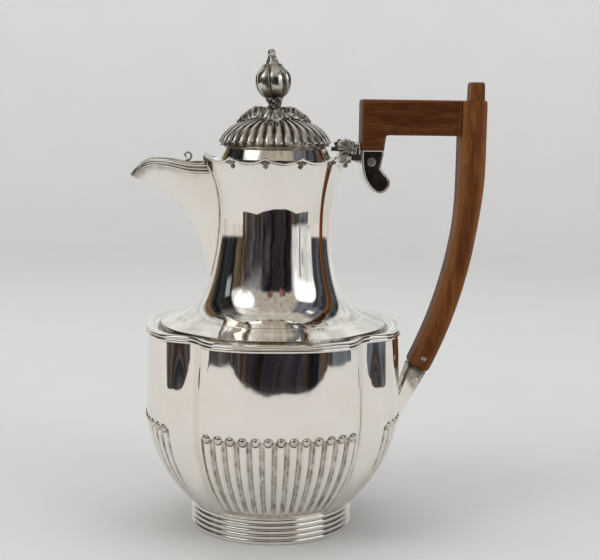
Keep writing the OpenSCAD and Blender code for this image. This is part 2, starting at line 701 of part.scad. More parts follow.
module lid_hinge_leaf() {
    strap_t = 1.9;
    strap_z = band_top - strap_t - 0.2;
    color("silver")
        difference() {
            union() {
                translate([hinge_x, leaf_l / 2, hinge_z])
                    rotate([90, 0, 0])
                        cylinder(d = knuckle_d, h = leaf_l, $fn = 48);
                translate([lid_w / 2 - 1, -leaf_l / 2, strap_z])
                    cube([hinge_x - lid_w / 2 + 1, leaf_l, strap_t]);
            }
            cylinder(r = lid_w / 2 + seat_gap, h = 300, $fn = round_fn);
            translate([hinge_x, barrel_l, hinge_z])
                rotate([90, 0, 0])
                    cylinder(d = pin_d + 2 * pin_clear, h = 2 * barrel_l, $fn = 48);
        }
}

leaf_seat = dome_z(90);
leaf_hub = 3.2;
module lid_leaves() {
    n = 12 * leaves;
    // how far the leaves reach at each twelfth of the way to the next: a small one, then a large one
    reach = [0.62, 0.46, 0.34, 0.62, 0.76, 0.94, 1, 0.94, 0.76, 0.62, 0.34, 0.46];
    bore = stud_d / 2 + stud_clear;
    turned = -12;
    function way(j) = (j - 6) * 360 / n + turned;
    function outer(j) = leaf_r * reach[j % 12];
    function rise(r) = let(t = min(1, r / leaf_r))
        leaf_seat + leaf_t + leaf_arch * sin(180 * pow(t, 0.8)) - leaf_droop * pow(t, 3);
    function top(r) = r < leaf_hub + 0.1 ? leaf_seat + leaf_t : rise(r);
    function ring(s, drop) = [for (j = [0:n - 1]) let(r = mix(leaf_hub, outer(j), s))
        polar(r, way(j), max(top(r) - drop, dome_over_leaf(r) + 0.1))];
    function hub(z) = [for (j = [0:n - 1]) polar(bore, way(j), z)];
    color("silver")
        sheet([hub(leaf_seat), ring(0, leaf_t), ring(0.5, leaf_t), ring(1, leaf_t),
            ring(1, 0), ring(0.75, 0), ring(0.4, 0), ring(0, 0), hub(leaf_seat + leaf_t)]);
}
// Height of the dome's top face at radius r
function dome_over_leaf(r) = dome_z(acos(min(1, r / dome_r(0))));

// ---- finial ----

stem_low = leaf_seat + leaf_t;
stem_r = 3.1;
bud_low = stem_low + stem_l;
bud_high = bud_low + bud_h;
bud_z = bud_low + bud_h / 2 + 0.1;
bud_half = bud_h / 2 + 0.95;     // half the height of the ellipse that the bud follows
finial_top = bud_high + tip_h;
// Leans what stands on the leaves, about the edge of the stem's foot
module leaned()
    translate([-stem_r, 0, stem_low])
        rotate([0, -finial_lean, 0])
            translate([stem_r, 0, -stem_low])
                children();

module finial_stem() {
    ring_z = bud_low - 1.9;
    color("silver")
        leaned()
            difference() {
                rotate_extrude($fn = 48)
                    polygon([[0, stem_low], [stem_r, stem_low], [3.3, stem_low + 0.8], [2.7, stem_low + 1.6],
                        [2.3, mix(stem_low + 1.6, ring_z, 0.4)], [2.2, mix(stem_low + 1.6, ring_z, 0.8)],
                        [2.9, ring_z], [2.9, ring_z + 0.8], [2.4, bud_low - 0.6], [3.4, bud_low],
                        [0, bud_low]]);
                translate([0, 0, stem_low - 1])
                    cylinder(d = stud_d, h = stud_top - stem_low + 1, $fn = 32);
            }
}

module finial_bud() {
    steps = 6;
    n = bud_lobes * steps;
    groove = 0.16;
    function r(z) = bud_w / 2 * sqrt(1 - pow((z - bud_z) / bud_half, 2));
    crest = -80;     // direction of one lobe's crest
    function lobe(a) = let(u = (a - crest) * bud_lobes / 360 + 0.5, v = 2 * (u - floor(u)) - 1)
        1 - groove * (1 - sqrt(max(0, 1 - v * v)));
    rows = [0, 0.07, 0.18, 0.34, 0.52, 0.68, 0.83, 0.94, 1];
    color("silver")
        leaned()
            solid([for (t = rows) let(z = mix(bud_low, bud_high, t), full = min(1, 6 * t * (1 - t)))
                [for (j = [0:n - 1]) let(a = 360 * j / n) polar(r(z) * mix(1, lobe(a), full), a, z)]]);
}

module finial_tip() {
    bead_r = 1.8;
    neck_z = finial_top - 2 * bead_r;
    color("silver")
        leaned()
            rotate_extrude($fn = 48)
                polygon(concat(
                    [[0, bud_high], [3.3, bud_high], [2.8, bud_high + 1], [2.2, mix(bud_high, neck_z, 0.55)],
                        [1.6, neck_z + 0.4]],
                    arc(0, finial_top - bead_r, bead_r, -42, 90, 10)));
}

stud_top = bud_low - 1.4;
stud_low = leaf_seat - wall - 3.2;
module finial_stud() {
    color("silver")
        leaned()
            translate([0, 0, stud_low])
                cylinder(d = stud_d, h = stud_top - stud_low, $fn = 32);
}

module finial_nut() {
    nut_r = 3.4;
    nut_h = 2.4;
    color("silver")
        leaned()
            translate([0, 0, leaf_seat - wall - nut_h - (nut_r + stem_r) * sin(finial_lean) - seat_gap])
                difference() {
                    cylinder(r = nut_r, h = nut_h, $fn = 6);
                    translate([0, 0, -1])
                        cylinder(d = stud_d, h = nut_h + 2, $fn = 32);
                }
}

// ---- wooden handle ----

arm_top = arm_low + arm_d;
grip_x = belly_w / 2 + grip_out;
grip_in = grip_x - grip_d;
tenon_w = 6;
tenon_l = 6.5;
module handle_arm() {
    stub_x = arm_x + socket_d;
    corner = 2.6;
    color("sienna")
        difference() {
            union() {
                rotate([90, 0, 0])
                    linear_extrude(wood_t, center = true)
                        polygon(concat(
                            [[arm_x, socket_z], [stub_x, socket_z]],
                            arc(stub_x + corner, arm_low - corner, corner, 180, 90, 5),
                            [[grip_in - seat_gap, arm_low], [grip_in - seat_gap, arm_top]],
                            arc(arm_x + 1.2, arm_top - 1.2, 1.2, 90, 180, 4)));
                // tenon into the grip
                translate([grip_in - seat_gap - eps, -tenon_w / 2, arm_low + 3])
                    cube([tenon_l, tenon_w, arm_d - 6]);
                // tenon into the upper socket
                translate([arm_x + tenon_x, -tenon_y / 2, socket_z - tenon_z])
                    cube([tenon_d, tenon_y, tenon_z + eps]);
            }
            peg_hole(upper_pin_x, upper_pin_z);
        }
}

tenon_z = 8.6;
tenon_x = wall + 0.4;
tenon_d = socket_d - 2 * wall - 1.9;
tenon_y = socket_t - 2 * wall - 2 * wood_gap;
upper_pin_x = arm_x + tenon_x + tenon_d / 2;
upper_pin_z = socket_z - 5.8;
module peg_hole(x, z)
    translate([x, 0, z])
        rotate([90, 0, 0])
            cylinder(d = peg_pin_d, h = 3 * wood_t, center = true, $fn = 32);

// Middle line and depth of the grip at height z
function grip_mid(z) = grip_x - grip_d / 2
    - (z < bow_z ? grip_bow - sqrt(pow(grip_bow, 2) - pow(bow_z - z, 2)) : 0);
function grip_lean(z) = z < bow_z ? asin((bow_z - z) / grip_bow) : 0;
function grip_depth(z) = mix(grip_end_d, grip_d, smooth((z - slim_z) / (bow_z - slim_z)));
// Section of the grip at height z: a round-cornered oblong set square to the bow
function grip_ring(z, k) =
    let(a = grip_lean(z), d = grip_depth(z) / 2 * k, t = wood_t / 2 * mix(1, k, 0.5), c = 1.6 * k)
    [for (q = [[1, -1], [1, 1], [-1, 1], [-1, -1]], i = [0:2])
        let(k = q[0] * q[1] > 0 ? i : 2 - i, p = [d - [0, 0.3, 1][k] * c, t - [1, 0.3, 0][k] * c])
        [grip_mid(z) + q[0] * p[0] * cos(a), q[1] * p[1], z - q[0] * p[0] * sin(a)]];

module handle_grip() {
    peg_w = wood_t - 3;
    heights = [for (i = [0:11]) mix(grip_end_z + 3.4, bow_z, i / 11)];
    color("sienna")
        difference() {
            union() {
                solid(concat([grip_ring(grip_end_z, 0.72), grip_ring(grip_end_z + 1.2, 0.9)],
                    [for (z = heights) grip_ring(z, 1)],
                    [grip_ring(arm_top - 1.4, 1), grip_ring(arm_top, 0.86)]));
                translate([grip_x - 1.2 - peg_d, -peg_w / 2, arm_top - 1])
                    cube([peg_d, peg_w, peg_h + 1]);
            }
            translate([grip_in - 1, -tenon_w / 2 - wood_gap, arm_low + 3 - wood_gap])
                cube([tenon_l + 1 + wood_gap, tenon_w + 2 * wood_gap, arm_d - 6 + 2 * wood_gap]);
            tongue(wood_gap);
            peg_hole(grip_pin_x, grip_pin_z);
        }
}

// ---- sockets ----

module upper_socket() {
    toe = [arm_x + socket_d - 1.8, socket_z - scroll_h + toe_r];
    // outline of the scroll, from the mouth down the neck's side, round its toe and up again
    outline = concat(
        [[arm_x, socket_z]],
        [for (i = [0:5]) bezier([arm_x, socket_z - scroll_h * 0.2],
            [arm_x + 0.2, socket_z - scroll_h * 0.6],
            [arm_x + toe_r / 2, toe[1] - toe_r * 0.72], [toe[0], toe[1] - toe_r], i / 6)],
        arc(toe[0], toe[1], toe_r, -90, 60, 9),
        [[toe[0] + 0.6, toe[1] + toe_r * 1.4]],
        [[arm_x + socket_d, socket_z - 2.4], [arm_x + socket_d, socket_z]]);
    color("silver")
        difference() {
            rotate([90, 0, 0])
                linear_extrude(socket_t, center = true)
                    polygon(outline);
            translate([arm_x + tenon_x - wood_gap, -tenon_y / 2 - wood_gap, socket_z - tenon_z - 0.4])
                cube([tenon_d + 2 * wood_gap, tenon_y + 2 * wood_gap, tenon_z + 1]);
            peg_hole(upper_pin_x, upper_pin_z);
        }
}

module upper_socket_pin() {
    color("gray")
        rivet(upper_pin_x, upper_pin_z, socket_t);
}

// A pin through, with a low round head on each side
module rivet(x, z, t) {
    head_h = 0.5;
    translate([x, 0, z])
        rotate([90, 0, 0]) {
            cylinder(d = peg_pin_d, h = t, center = true, $fn = 32);
            for (side = [0, 1])
                mirror([0, 0, side])
                    translate([0, 0, t / 2])
                        cylinder(d1 = peg_pin_d + 1.4, d2 = peg_pin_d, h = head_h, $fn = 32);
        }
}

// The lower socket runs from the belly up to the grip's end, square to the grip there
tongue_l = 9;
tongue_t = 4;
tongue_d = grip_end_d * 0.56;
grip_pin_z = grip_end_z + 4.6;
grip_pin_x = grip_mid(grip_pin_z);
end_lean = grip_lean(grip_end_z);
end_mid = [grip_mid(grip_end_z), grip_end_z];
mouth_gap = 0.3;
module tongue(extra)
    translate([end_mid[0], 0, end_mid[1]])
        rotate([0, end_lean, 0])
            translate([-tongue_d / 2 - extra, -tongue_t / 2 - extra, -1])
                cube([tongue_d + 2 * extra, tongue_t + 2 * extra, tongue_l + 1 + extra]);

mouth_t = socket_t * 0.9;
rivet_z = grip_end_z - 6.5;
rivet_x = grip_mid(grip_end_z) - 1.6;
module lower_socket() {
    along = [cos(end_lean), -sin(end_lean)];
    mouth_mid = end_mid - mouth_gap * [sin(end_lean), cos(end_lean)];
    mouth = [for (side = [-1, 1]) mouth_mid + side * along * grip_end_d * 0.47];
    low_t = socket_t * 0.75;
    inner_z = socket_low_z + 18;
    low = [[belly_r(inner_z) - 2, inner_z], [belly_r(socket_low_z) - 1, socket_low_z]];
    function plate(ends, t) = [for (q = [[0, -1], [1, -1], [1, 1], [0, 1]])
        [ends[q[0]][0], q[1] * t / 2, ends[q[0]][1]]];
    color("silver")
        difference() {
            union() {
                solid([plate(low, low_t), plate(mouth, mouth_t)]);
                tongue(0);
            }
            belly_envelope();
            peg_hole(grip_pin_x, grip_pin_z);
            peg_hole(rivet_x, rivet_z);
        }
}

// Everything inside the belly's outer face, to cut what is soldered on to it
module belly_envelope() {
    low = socket_low_z - 8;
    steps = 16;
    rows = [for (i = [0:steps]) mix(low, belly_top, i / steps)];
    solder = 0.12;
    function beads(z) = abs(z - bead_z) < 5 ? bead_rise : 0;
    rotate_extrude($fn = round_fn)
        polygon(concat([[0, low]], [for (z = rows) [belly_r(z) + beads(z) + solder, z]], [[0, belly_top]]));
}

module lower_socket_pin() {
    color("gray")
        rivet(rivet_x, rivet_z, mouth_t);
}

module grip_pin() {
    color("gray")
        translate([grip_pin_x, 0, grip_pin_z])
            rotate([90, 0, 0])
                cylinder(d = peg_pin_d, h = wood_t, center = true, $fn = 32);
}

foot_ring();
base_disc();
belly();
shoulder_wire();
shoulder();
neck();
rim_wire();
rim_shells();
spout();
spout_moulding();
spout_curl();
lid_seat();
hinge_plate();
hinge_pin();
hinge_shells();
upper_socket();
upper_socket_pin();
lower_socket();
lower_socket_pin();
grip_pin();
handle_arm();
handle_grip();
lid_band();
lid_bezel();
lid_dome();
lid_hinge_leaf();
lid_leaves();
finial_stem();
finial_bud();
finial_tip();
finial_stud();
finial_nut();
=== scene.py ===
import math
import bpy
import numpy as np
from mathutils import Matrix


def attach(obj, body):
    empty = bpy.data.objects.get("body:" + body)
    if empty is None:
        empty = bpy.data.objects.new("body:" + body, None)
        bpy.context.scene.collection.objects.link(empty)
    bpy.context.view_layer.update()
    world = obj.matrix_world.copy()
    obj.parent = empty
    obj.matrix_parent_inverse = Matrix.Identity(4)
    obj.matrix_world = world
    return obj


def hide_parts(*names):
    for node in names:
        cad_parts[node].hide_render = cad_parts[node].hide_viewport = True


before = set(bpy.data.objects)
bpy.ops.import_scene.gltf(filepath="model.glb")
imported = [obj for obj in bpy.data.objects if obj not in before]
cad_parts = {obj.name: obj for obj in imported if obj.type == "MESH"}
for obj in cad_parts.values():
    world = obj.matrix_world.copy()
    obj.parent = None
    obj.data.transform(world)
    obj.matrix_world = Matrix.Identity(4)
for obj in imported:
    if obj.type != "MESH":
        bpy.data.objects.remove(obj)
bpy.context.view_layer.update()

degrees = math.pi / 180
mm = 0.001


def cosD(angle):
    return np.cos(angle * degrees)


def sinD(angle):
    return np.sin(angle * degrees)


def unit(x):
    return np.clip(x, 0, 1)


def bell(x):
    return np.exp(-x ** 2)


def smoothStep(t):
    t = unit(t)
    return t * t * (3 - 2 * t)


def newObject(name, data):
    thing = bpy.data.objects.new(name, data)
    bpy.context.scene.collection.objects.link(thing)
    return thing


def newMesh(name, points, faces):
    mesh = bpy.data.meshes.new(name)
    mesh.from_pydata(np.reshape(points, (-1, 3)).tolist(), [], [[int(i) for i in face] for face in faces])
    return mesh


def poseOf(x, y, z, place):
    return Matrix([*([*row] for row in zip(x, y, z, place)), [0, 0, 0, 1]])


print("coffee pot: frame loaded,", len(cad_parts), "nodes")

# camera

camera = {
    "turn": 4.0,          # degrees round the pot, toward the spout
    "distance": 559.6,    # mm from the pot's axis
    "height": 196.74,     # mm above the table
    "pitch": 0.1456,      # radians, looking down
    "yaw": 0.022,
    "roll": 0.0144,
    "lens": 73.056,       # mm on a 36 mm sensor
}


def setCamera():
    p, yaw, roll = camera["pitch"], camera["yaw"], camera["roll"]
    ahead = np.array([math.sin(yaw) * math.cos(p), math.cos(yaw) * math.cos(p), -math.sin(p)])
    across = np.array([math.cos(yaw), -math.sin(yaw), 0.0])
    up = np.cross(across, ahead)
    right = across * math.cos(roll) + up * math.sin(roll)
    top = up * math.cos(roll) - across * math.sin(roll)
    place = np.array([0, -camera["distance"], camera["height"]]) * mm
    turn = Matrix.Rotation(-camera["turn"] * degrees, 4, "Z")
    lensData = bpy.data.cameras.new("studioCamera")
    lensData.lens = camera["lens"]
    lensData.sensor_width = 36
    lensData.sensor_fit = "HORIZONTAL"
    lensData.clip_start = 0.01
    eye = newObject("studioCamera", lensData)
    eye.matrix_world = turn @ poseOf(right, top, -ahead, place)
    bpy.context.scene.camera = eye


setCamera()
bpy.context.scene.view_settings.view_transform = "Standard"
print("camera set")

# shader helpers


def newMaterial(name, kind="ShaderNodeBsdfPrincipled"):
    material = bpy.data.materials.new(name)
    material.use_nodes = True
    tree = material.node_tree
    tree.nodes.clear()
    out = tree.nodes.new("ShaderNodeOutputMaterial")
    shader = tree.nodes.new(kind)
    tree.links.new(shader.outputs[0], out.inputs[0])
    return material, tree, shader


def feed(tree, socket, value):
    # a socket takes a link, a number or a colour
    if isinstance(value, bpy.types.NodeSocket):
        tree.links.new(value, socket)
    else:
        socket.default_value = (*value, 1) if isinstance(value, tuple) else value


def feedAll(tree, node, values):
    for key, value in values.items():
        feed(tree, node.inputs[key], value)


def objectCoords(tree, scale=(1, 1, 1)):
    coords = tree.nodes.new("ShaderNodeTexCoord")
    mapping = tree.nodes.new("ShaderNodeMapping")
    mapping.inputs["Scale"].default_value = scale
    tree.links.new(coords.outputs["Object"], mapping.inputs["Vector"])
    return mapping.outputs[0]


def painted(tree, name, output="Fac"):
    n = tree.nodes.new("ShaderNodeAttribute")
    n.attribute_name = name
    return n.outputs[output]


def noiseNode(tree, vector, scale, detail=3.0, rough=0.55):
    n = tree.nodes.new("ShaderNodeTexNoise")
    feedAll(tree, n, {"Scale": scale, "Detail": detail, "Roughness": rough, "Vector": vector})
    return n.outputs["Fac"]


def rampNode(tree, value, stops):
    ramp = tree.nodes.new("ShaderNodeValToRGB")
    while len(ramp.color_ramp.elements) < len(stops):
        ramp.color_ramp.elements.new(0.5)
    for element, (at, colour) in zip(ramp.color_ramp.elements, stops):
        element.position = at
        element.color = (*colour, 1)
    tree.links.new(value, ramp.inputs[0])
    return ramp.outputs[0]


def rangeNode(tree, value, low, high, toLow, toHigh):
    n = tree.nodes.new("ShaderNodeMapRange")
    feedAll(tree, n, dict(enumerate((value, low, high, toLow, toHigh))))
    return n.outputs[0]


def mathNode(tree, kind, a, b):
    n = tree.nodes.new("ShaderNodeMath")
    n.operation = kind
    feedAll(tree, n, {0: a, 1: b})
    return n.outputs[0]


def mixNode(tree, factor, a, b, blend="MIX"):
    n = tree.nodes.new("ShaderNodeMix")
    n.data_type, n.blend_type = "RGBA", blend
    feedAll(tree, n, {0: factor, 6: a, 7: b})     # 6 and 7 are the two colours
    return n.outputs[2]


def bumpNode(tree, height, strength, distance, normal=None):
    n = tree.nodes.new("ShaderNodeBump")
    feedAll(tree, n, {"Strength": strength, "Distance": distance, "Height": height})
    if normal is not None:
        feed(tree, n.inputs["Normal"], normal)
    return n.outputs[0]


# finishes

silverLook = {
    "clean": (0.93, 0.895, 0.84),
    "warm": (0.86, 0.80, 0.71),       # faint yellow bloom here and there
    "grimeAndShade": (0.15, 0.108, 0.055),    # the colour of tarnish in the grooves, and of painted shade in creases and under mouldings
    "roughness": 0.028,
    "spread": 0.022,
    "grimeRoughness": 0.34,
    "dents": 0.00014,                 # metres, slow waves of hand-raised sheet
}


def silverFinish(name, tarnish=0.0, roughness=None, grain=0.0, grimeAndShadeColour=None, patchy=0.35):
    material, tree, shader = newMaterial(name)
    vector = objectCoords(tree)
    slow = noiseNode(tree, vector, 38, 3)
    blotches = noiseNode(tree, vector, 160, 5, 0.65)
    fine = noiseNode(tree, vector, 900, 4, 0.7)
    # the attribute read here darkens the silver: real tarnish in hollows, together with painted shade in creases,
    # under mouldings and between parts
    recess = painted(tree, "grimeAndShade")
    broken = rangeNode(tree, blotches, 0.32, 0.62, patchy, 1.0)
    dirtAndShade = mathNode(tree, "MULTIPLY", recess, broken)
    if tarnish:
        skin = rangeNode(tree, blotches, 0.40, 0.72, tarnish * 0.55, tarnish)
        dirtAndShade = mathNode(tree, "MAXIMUM", dirtAndShade, skin)
    bloom = rangeNode(tree, slow, 0.48, 0.78, 0.0, 0.55)
    clean = mixNode(tree, bloom, silverLook["clean"], silverLook["warm"])
    colour = mixNode(tree, dirtAndShade, clean, grimeAndShadeColour or silverLook["grimeAndShade"])
    low = silverLook["roughness"] if roughness is None else roughness
    polish = rangeNode(tree, fine, 0.3, 0.75, low, low + silverLook["spread"])
    rough = mathNode(tree, "ADD", polish, mathNode(tree, "MULTIPLY", dirtAndShade, silverLook["grimeRoughness"]))
    relief = bumpNode(tree, slow, 0.35, silverLook["dents"])
    if grain:
        relief = bumpNode(tree, blotches, 0.8, grain, relief)
    feedAll(tree, shader, {"Base Color": colour, "Metallic": 1.0, "Roughness": rough, "Normal": relief})
    return material


woodLook = {
    "arm": {"dark": (0.040, 0.010, 0.002), "mid": (0.088, 0.025, 0.005), "light": (0.18, 0.068, 0.018)},
    "grip": {"dark": (0.058, 0.015, 0.003), "mid": (0.130, 0.040, 0.008), "light": (0.27, 0.115, 0.036)},
    "roughness": 0.34,
    "gloss": 0.13,
}


def woodFinish(name, scale, tones):
    material, tree, shader = newMaterial(name)
    vector = objectCoords(tree, scale)
    plain = objectCoords(tree)
    fibre = noiseNode(tree, vector, 900, 6, 0.7)
    broad = noiseNode(tree, vector, 160, 4, 0.6)
    patches = noiseNode(tree, plain, 45, 3)
    both = mathNode(tree, "ADD", mathNode(tree, "MULTIPLY", fibre, 0.5), mathNode(tree, "MULTIPLY", broad, 0.5))
    colour = rampNode(tree, both, [(0.34, tones["dark"]), (0.5, tones["mid"]), (0.68, tones["light"])])
    worn = painted(tree, "worn")
    shade = rangeNode(tree, patches, 0.35, 0.7, 0.0, 0.45)
    colour = mixNode(tree, shade, colour, tones["dark"])
    colour = mixNode(tree, worn, colour, tones["light"])
    rough = rangeNode(tree, fibre, 0.3, 0.7, woodLook["roughness"], woodLook["roughness"] + 0.2)
    feedAll(tree, shader, {"Base Color": colour, "Roughness": rough, "Specular IOR Level": woodLook["gloss"],
                           "Normal": bumpNode(tree, fibre, 0.5, 0.00012)})
    return material


silver = silverFinish("polishedSilver")
castSilver = silverFinish("castSilver", tarnish=0.30, roughness=0.10, grain=0.00022,
                          grimeAndShadeColour=(0.085, 0.06, 0.032), patchy=0.6)
budSilver = silverFinish("budSilver", tarnish=0.26, roughness=0.07, grain=0.00004, grimeAndShadeColour=(0.10, 0.066, 0.034),
                         patchy=0.65)
agedSilver = silverFinish("agedSilver", tarnish=0.08, roughness=0.16, grain=0.00012,
                          grimeAndShadeColour=(0.030, 0.024, 0.016), patchy=0.95)
darkPin = silverFinish("darkPin", tarnish=0.97, roughness=0.24, grain=0.0001, grimeAndShadeColour=(0.05, 0.042, 0.03),
                       patchy=0.9)
pinMetal = silverFinish("pinMetal", tarnish=0.45, roughness=0.2, grain=0.0001)
woodAlong = woodFinish("woodArm", (0.12, 1.0, 1.0), woodLook["arm"])
woodUp = woodFinish("woodGrip", (1.0, 1.0, 0.12), woodLook["grip"])
print("finishes made")

# mesh helpers


def gridQuads(rows, cols, around=True, along=False):
    i = np.arange(rows if along else rows - 1)
    j = np.arange(cols if around else cols - 1)
    a, b = np.meshgrid(i, j, indexing="ij")
    up, over = (a + 1) % rows, (b + 1) % cols
    quads = np.stack([a * cols + b, a * cols + over, up * cols + over, up * cols + b], -1)
    return quads.reshape(-1, 4)


def gridPiece(name, grid, material, replaced=(), body="pot", around=True, along=False, capped=False,
              grimeAndShade=None, worn=None, sharp=38):
    # a sheet through a grid of points in mm; edges that turn by more than sharp degrees stay sharp
    rows, cols = grid.shape[:2]
    caps = []
    if capped == "wall":                     # a folded sheet is closed across its thickness
        last = (rows - 1) * cols
        for k in range(cols // 2 - 1):
            fold = (k, k + 1, cols - 2 - k, cols - 1 - k)
            caps += [fold[::-1], tuple(last + q for q in fold)]
    elif capped:
        caps = [list(range(cols))[::-1], [(rows - 1) * cols + k for k in range(cols)]]
    mesh = newMesh(name, grid * mm, list(gridQuads(rows, cols, around, along)) + caps)
    mesh.validate()
    mesh.shade_smooth()
    mesh.set_sharp_from_angle(angle=sharp * degrees)
    for key, values in (("grimeAndShade", grimeAndShade), ("worn", worn)):
        if values is not None:
            layer = mesh.attributes.new(key, "FLOAT", "POINT")
            layer.data.foreach_set("value", unit(np.broadcast_to(values, (rows, cols)).ravel()))
    mesh.materials.append(material)
    piece = newObject(name, mesh)
    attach(piece, body)
    if replaced:
        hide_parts(*replaced)
    return piece


def polarGrid(r, a, z):
    r, a, z = np.broadcast_arrays(r, a, z)
    return np.stack([r * cosD(a), r * sinD(a), z], -1)


def lathe(name, profile, grimeAndShade, material, replaced=(), body="pot", steps=288, sharp=38):
    profile = np.asarray(profile, float)
    grid = polarGrid(profile[:, :1], circle(steps)[None, :], profile[:, 1:2])
    layer = np.array(grimeAndShade)[:, None]
    closed = bool(np.allclose(profile[0], profile[-1]))
    if closed:
        grid, layer = grid[:-1], layer[:-1]
    return gridPiece(name, grid, material, replaced, body, along=closed, grimeAndShade=layer, sharp=sharp)


def turned(points, angle):
    c, s = cosD(angle), sinD(angle)
    return points @ np.array([[c, s, 0], [-s, c, 0], [0, 0, 1]])


def circle(count):
    return np.arange(count) * 360 / count


def oblong(angle, power):
    # a round-cornered square that reaches 1 both ways
    c, s = cosD(angle), sinD(angle)
    k = (abs(c) ** power + abs(s) ** power) ** (-1 / power)
    return c * k, s * k


def bands(rows):
    # evenly spaced numbers in each row of (from, to, count), where one row's end is the next one's start
    return np.concatenate([np.linspace(*row)[min(i, 1):] for i, row in enumerate(rows)])


def sawWave(u):
    # 1 at whole numbers and 0 halfway between them
    return np.abs(2 * (u - np.floor(u)) - 1)


def curveThrough(points, steps):
    points = np.asarray(points, float)
    padded = np.vstack([2 * points[0] - points[1], points, 2 * points[-1] - points[-2]])
    out = []
    for i in range(1, len(padded) - 2):
        a, b, c, d = padded[i - 1:i + 3]
        for k in range(steps):
            t = k / steps
            out.append(0.5 * (2 * b + (c - a) * t + (2 * a - 5 * b + 4 * c - d) * t * t
                              + (3 * b - a - 3 * c + d) * t ** 3))
    out.append(points[-1])
    return np.array(out)


def arcPoints(cx, cy, r, start, end, steps):
    a = np.linspace(start, end, steps + 1) * degrees
    return [(cx + r * math.cos(v), cy + r * math.sin(v)) for v in a]


# belly

belly = {
    "width": 117.4, "top": 91.8, "turn": 60.0, "footZ": 12.0, "footR": 38.0, "sheet": 1.1,
    "panels": 4, "stripDip": 5.0, "stripAngle": 24.0,
    "flatTo": 22.5, "flatRise": 1.15, "edgeRise": 0.1,    # degrees from a panel's middle, and mm
    "lean": 1.35, "leanFrom": 58.0, "leanBlend": 8.0,     # the wall above the flutes leans inward
    "flare": 1.22, "wireFlare": 1.4,      # how much wider the strips are where they meet the shoulder
    "flareFrom": 68.0, "flareTo": 92.0,
    "flutes": 13, "pitch": 5.4, "fluteDepth": 0.95, "ridge": 0.64, "fluteEnd": 15.4,
    "beadZ": 53.0, "beadRise": 0.75, "beadWide": 0.62, "beadHigh": 1.6,
    "moatAt": 1.12, "moatWide": 0.16, "moatDepth": 0.22,  # the sunk line round each bead
    # rings of points: from one height to another, and how many
    "rings": [(12, 20, 18), (20, 49, 36), (49, 57, 34), (57, 91.8, 26)],
    "perFlute": 16, "perStrip": 40,
}
bellyDrop = (belly["turn"] - belly["footZ"]) / math.sqrt(1 - (2 * belly["footR"] / belly["width"]) ** 2)
fanAngle = belly["flutes"] * belly["pitch"] / 2


def offPanel(a):
    step = 360 / belly["panels"]
    return (a + step / 2 + 3600) % step - step / 2


def lobed(r, a, share, flare=1.0):
    # each panel is nearly flat in its middle, and the strips between panels are soft hollows
    p, flat, halfStrip = np.abs(offPanel(a)), belly["flatTo"], belly["stripAngle"] / 2
    q = np.minimum((180 / belly["panels"] - p) / (halfStrip * flare), 1)
    panel = belly["flatRise"] * (1 - cosD(180 * np.minimum(p / flat, 1))) / 2
    panel = panel + belly["edgeRise"] * smoothStep((p - flat) / (180 / belly["panels"] - halfStrip - flat))
    strip = (belly["stripDip"] + belly["flatRise"] + belly["edgeRise"]) * (1 + cosD(180 * q)) / 2
    return r + share * (panel - strip)


def stripFlare(z):
    return 1 + (belly["flare"] - 1) * smoothStep((z - belly["flareFrom"]) / (belly["flareTo"] - belly["flareFrom"]))


def bellyR(z):
    t = np.maximum(0, belly["turn"] - z) / bellyDrop
    above, blend = np.maximum(0, z - belly["leanFrom"]), belly["leanBlend"]
    height = np.where(above < blend, above ** 2 / (2 * blend), above - blend / 2)
    return belly["width"] / 2 * np.sqrt(np.maximum(0, 1 - t * t)) - height * math.tan(belly["lean"] * degrees)


def bellyLobing(z):
    low, high = belly["footZ"] + 2, belly["footZ"] + 0.62 * (belly["turn"] - belly["footZ"])
    return smoothStep((z - low) / (high - low))


def bellyAngles(perFlute, perStrip):
    step, out = 360 / belly["panels"], []
    for q in range(belly["panels"]):
        out += list(q * step - fanAngle + np.arange(belly["flutes"] * perFlute) * belly["pitch"] / perFlute)
        out += list(q * step + fanAngle + np.arange(perStrip) * (step - 2 * fanAngle) / perStrip)
    return np.array(out)


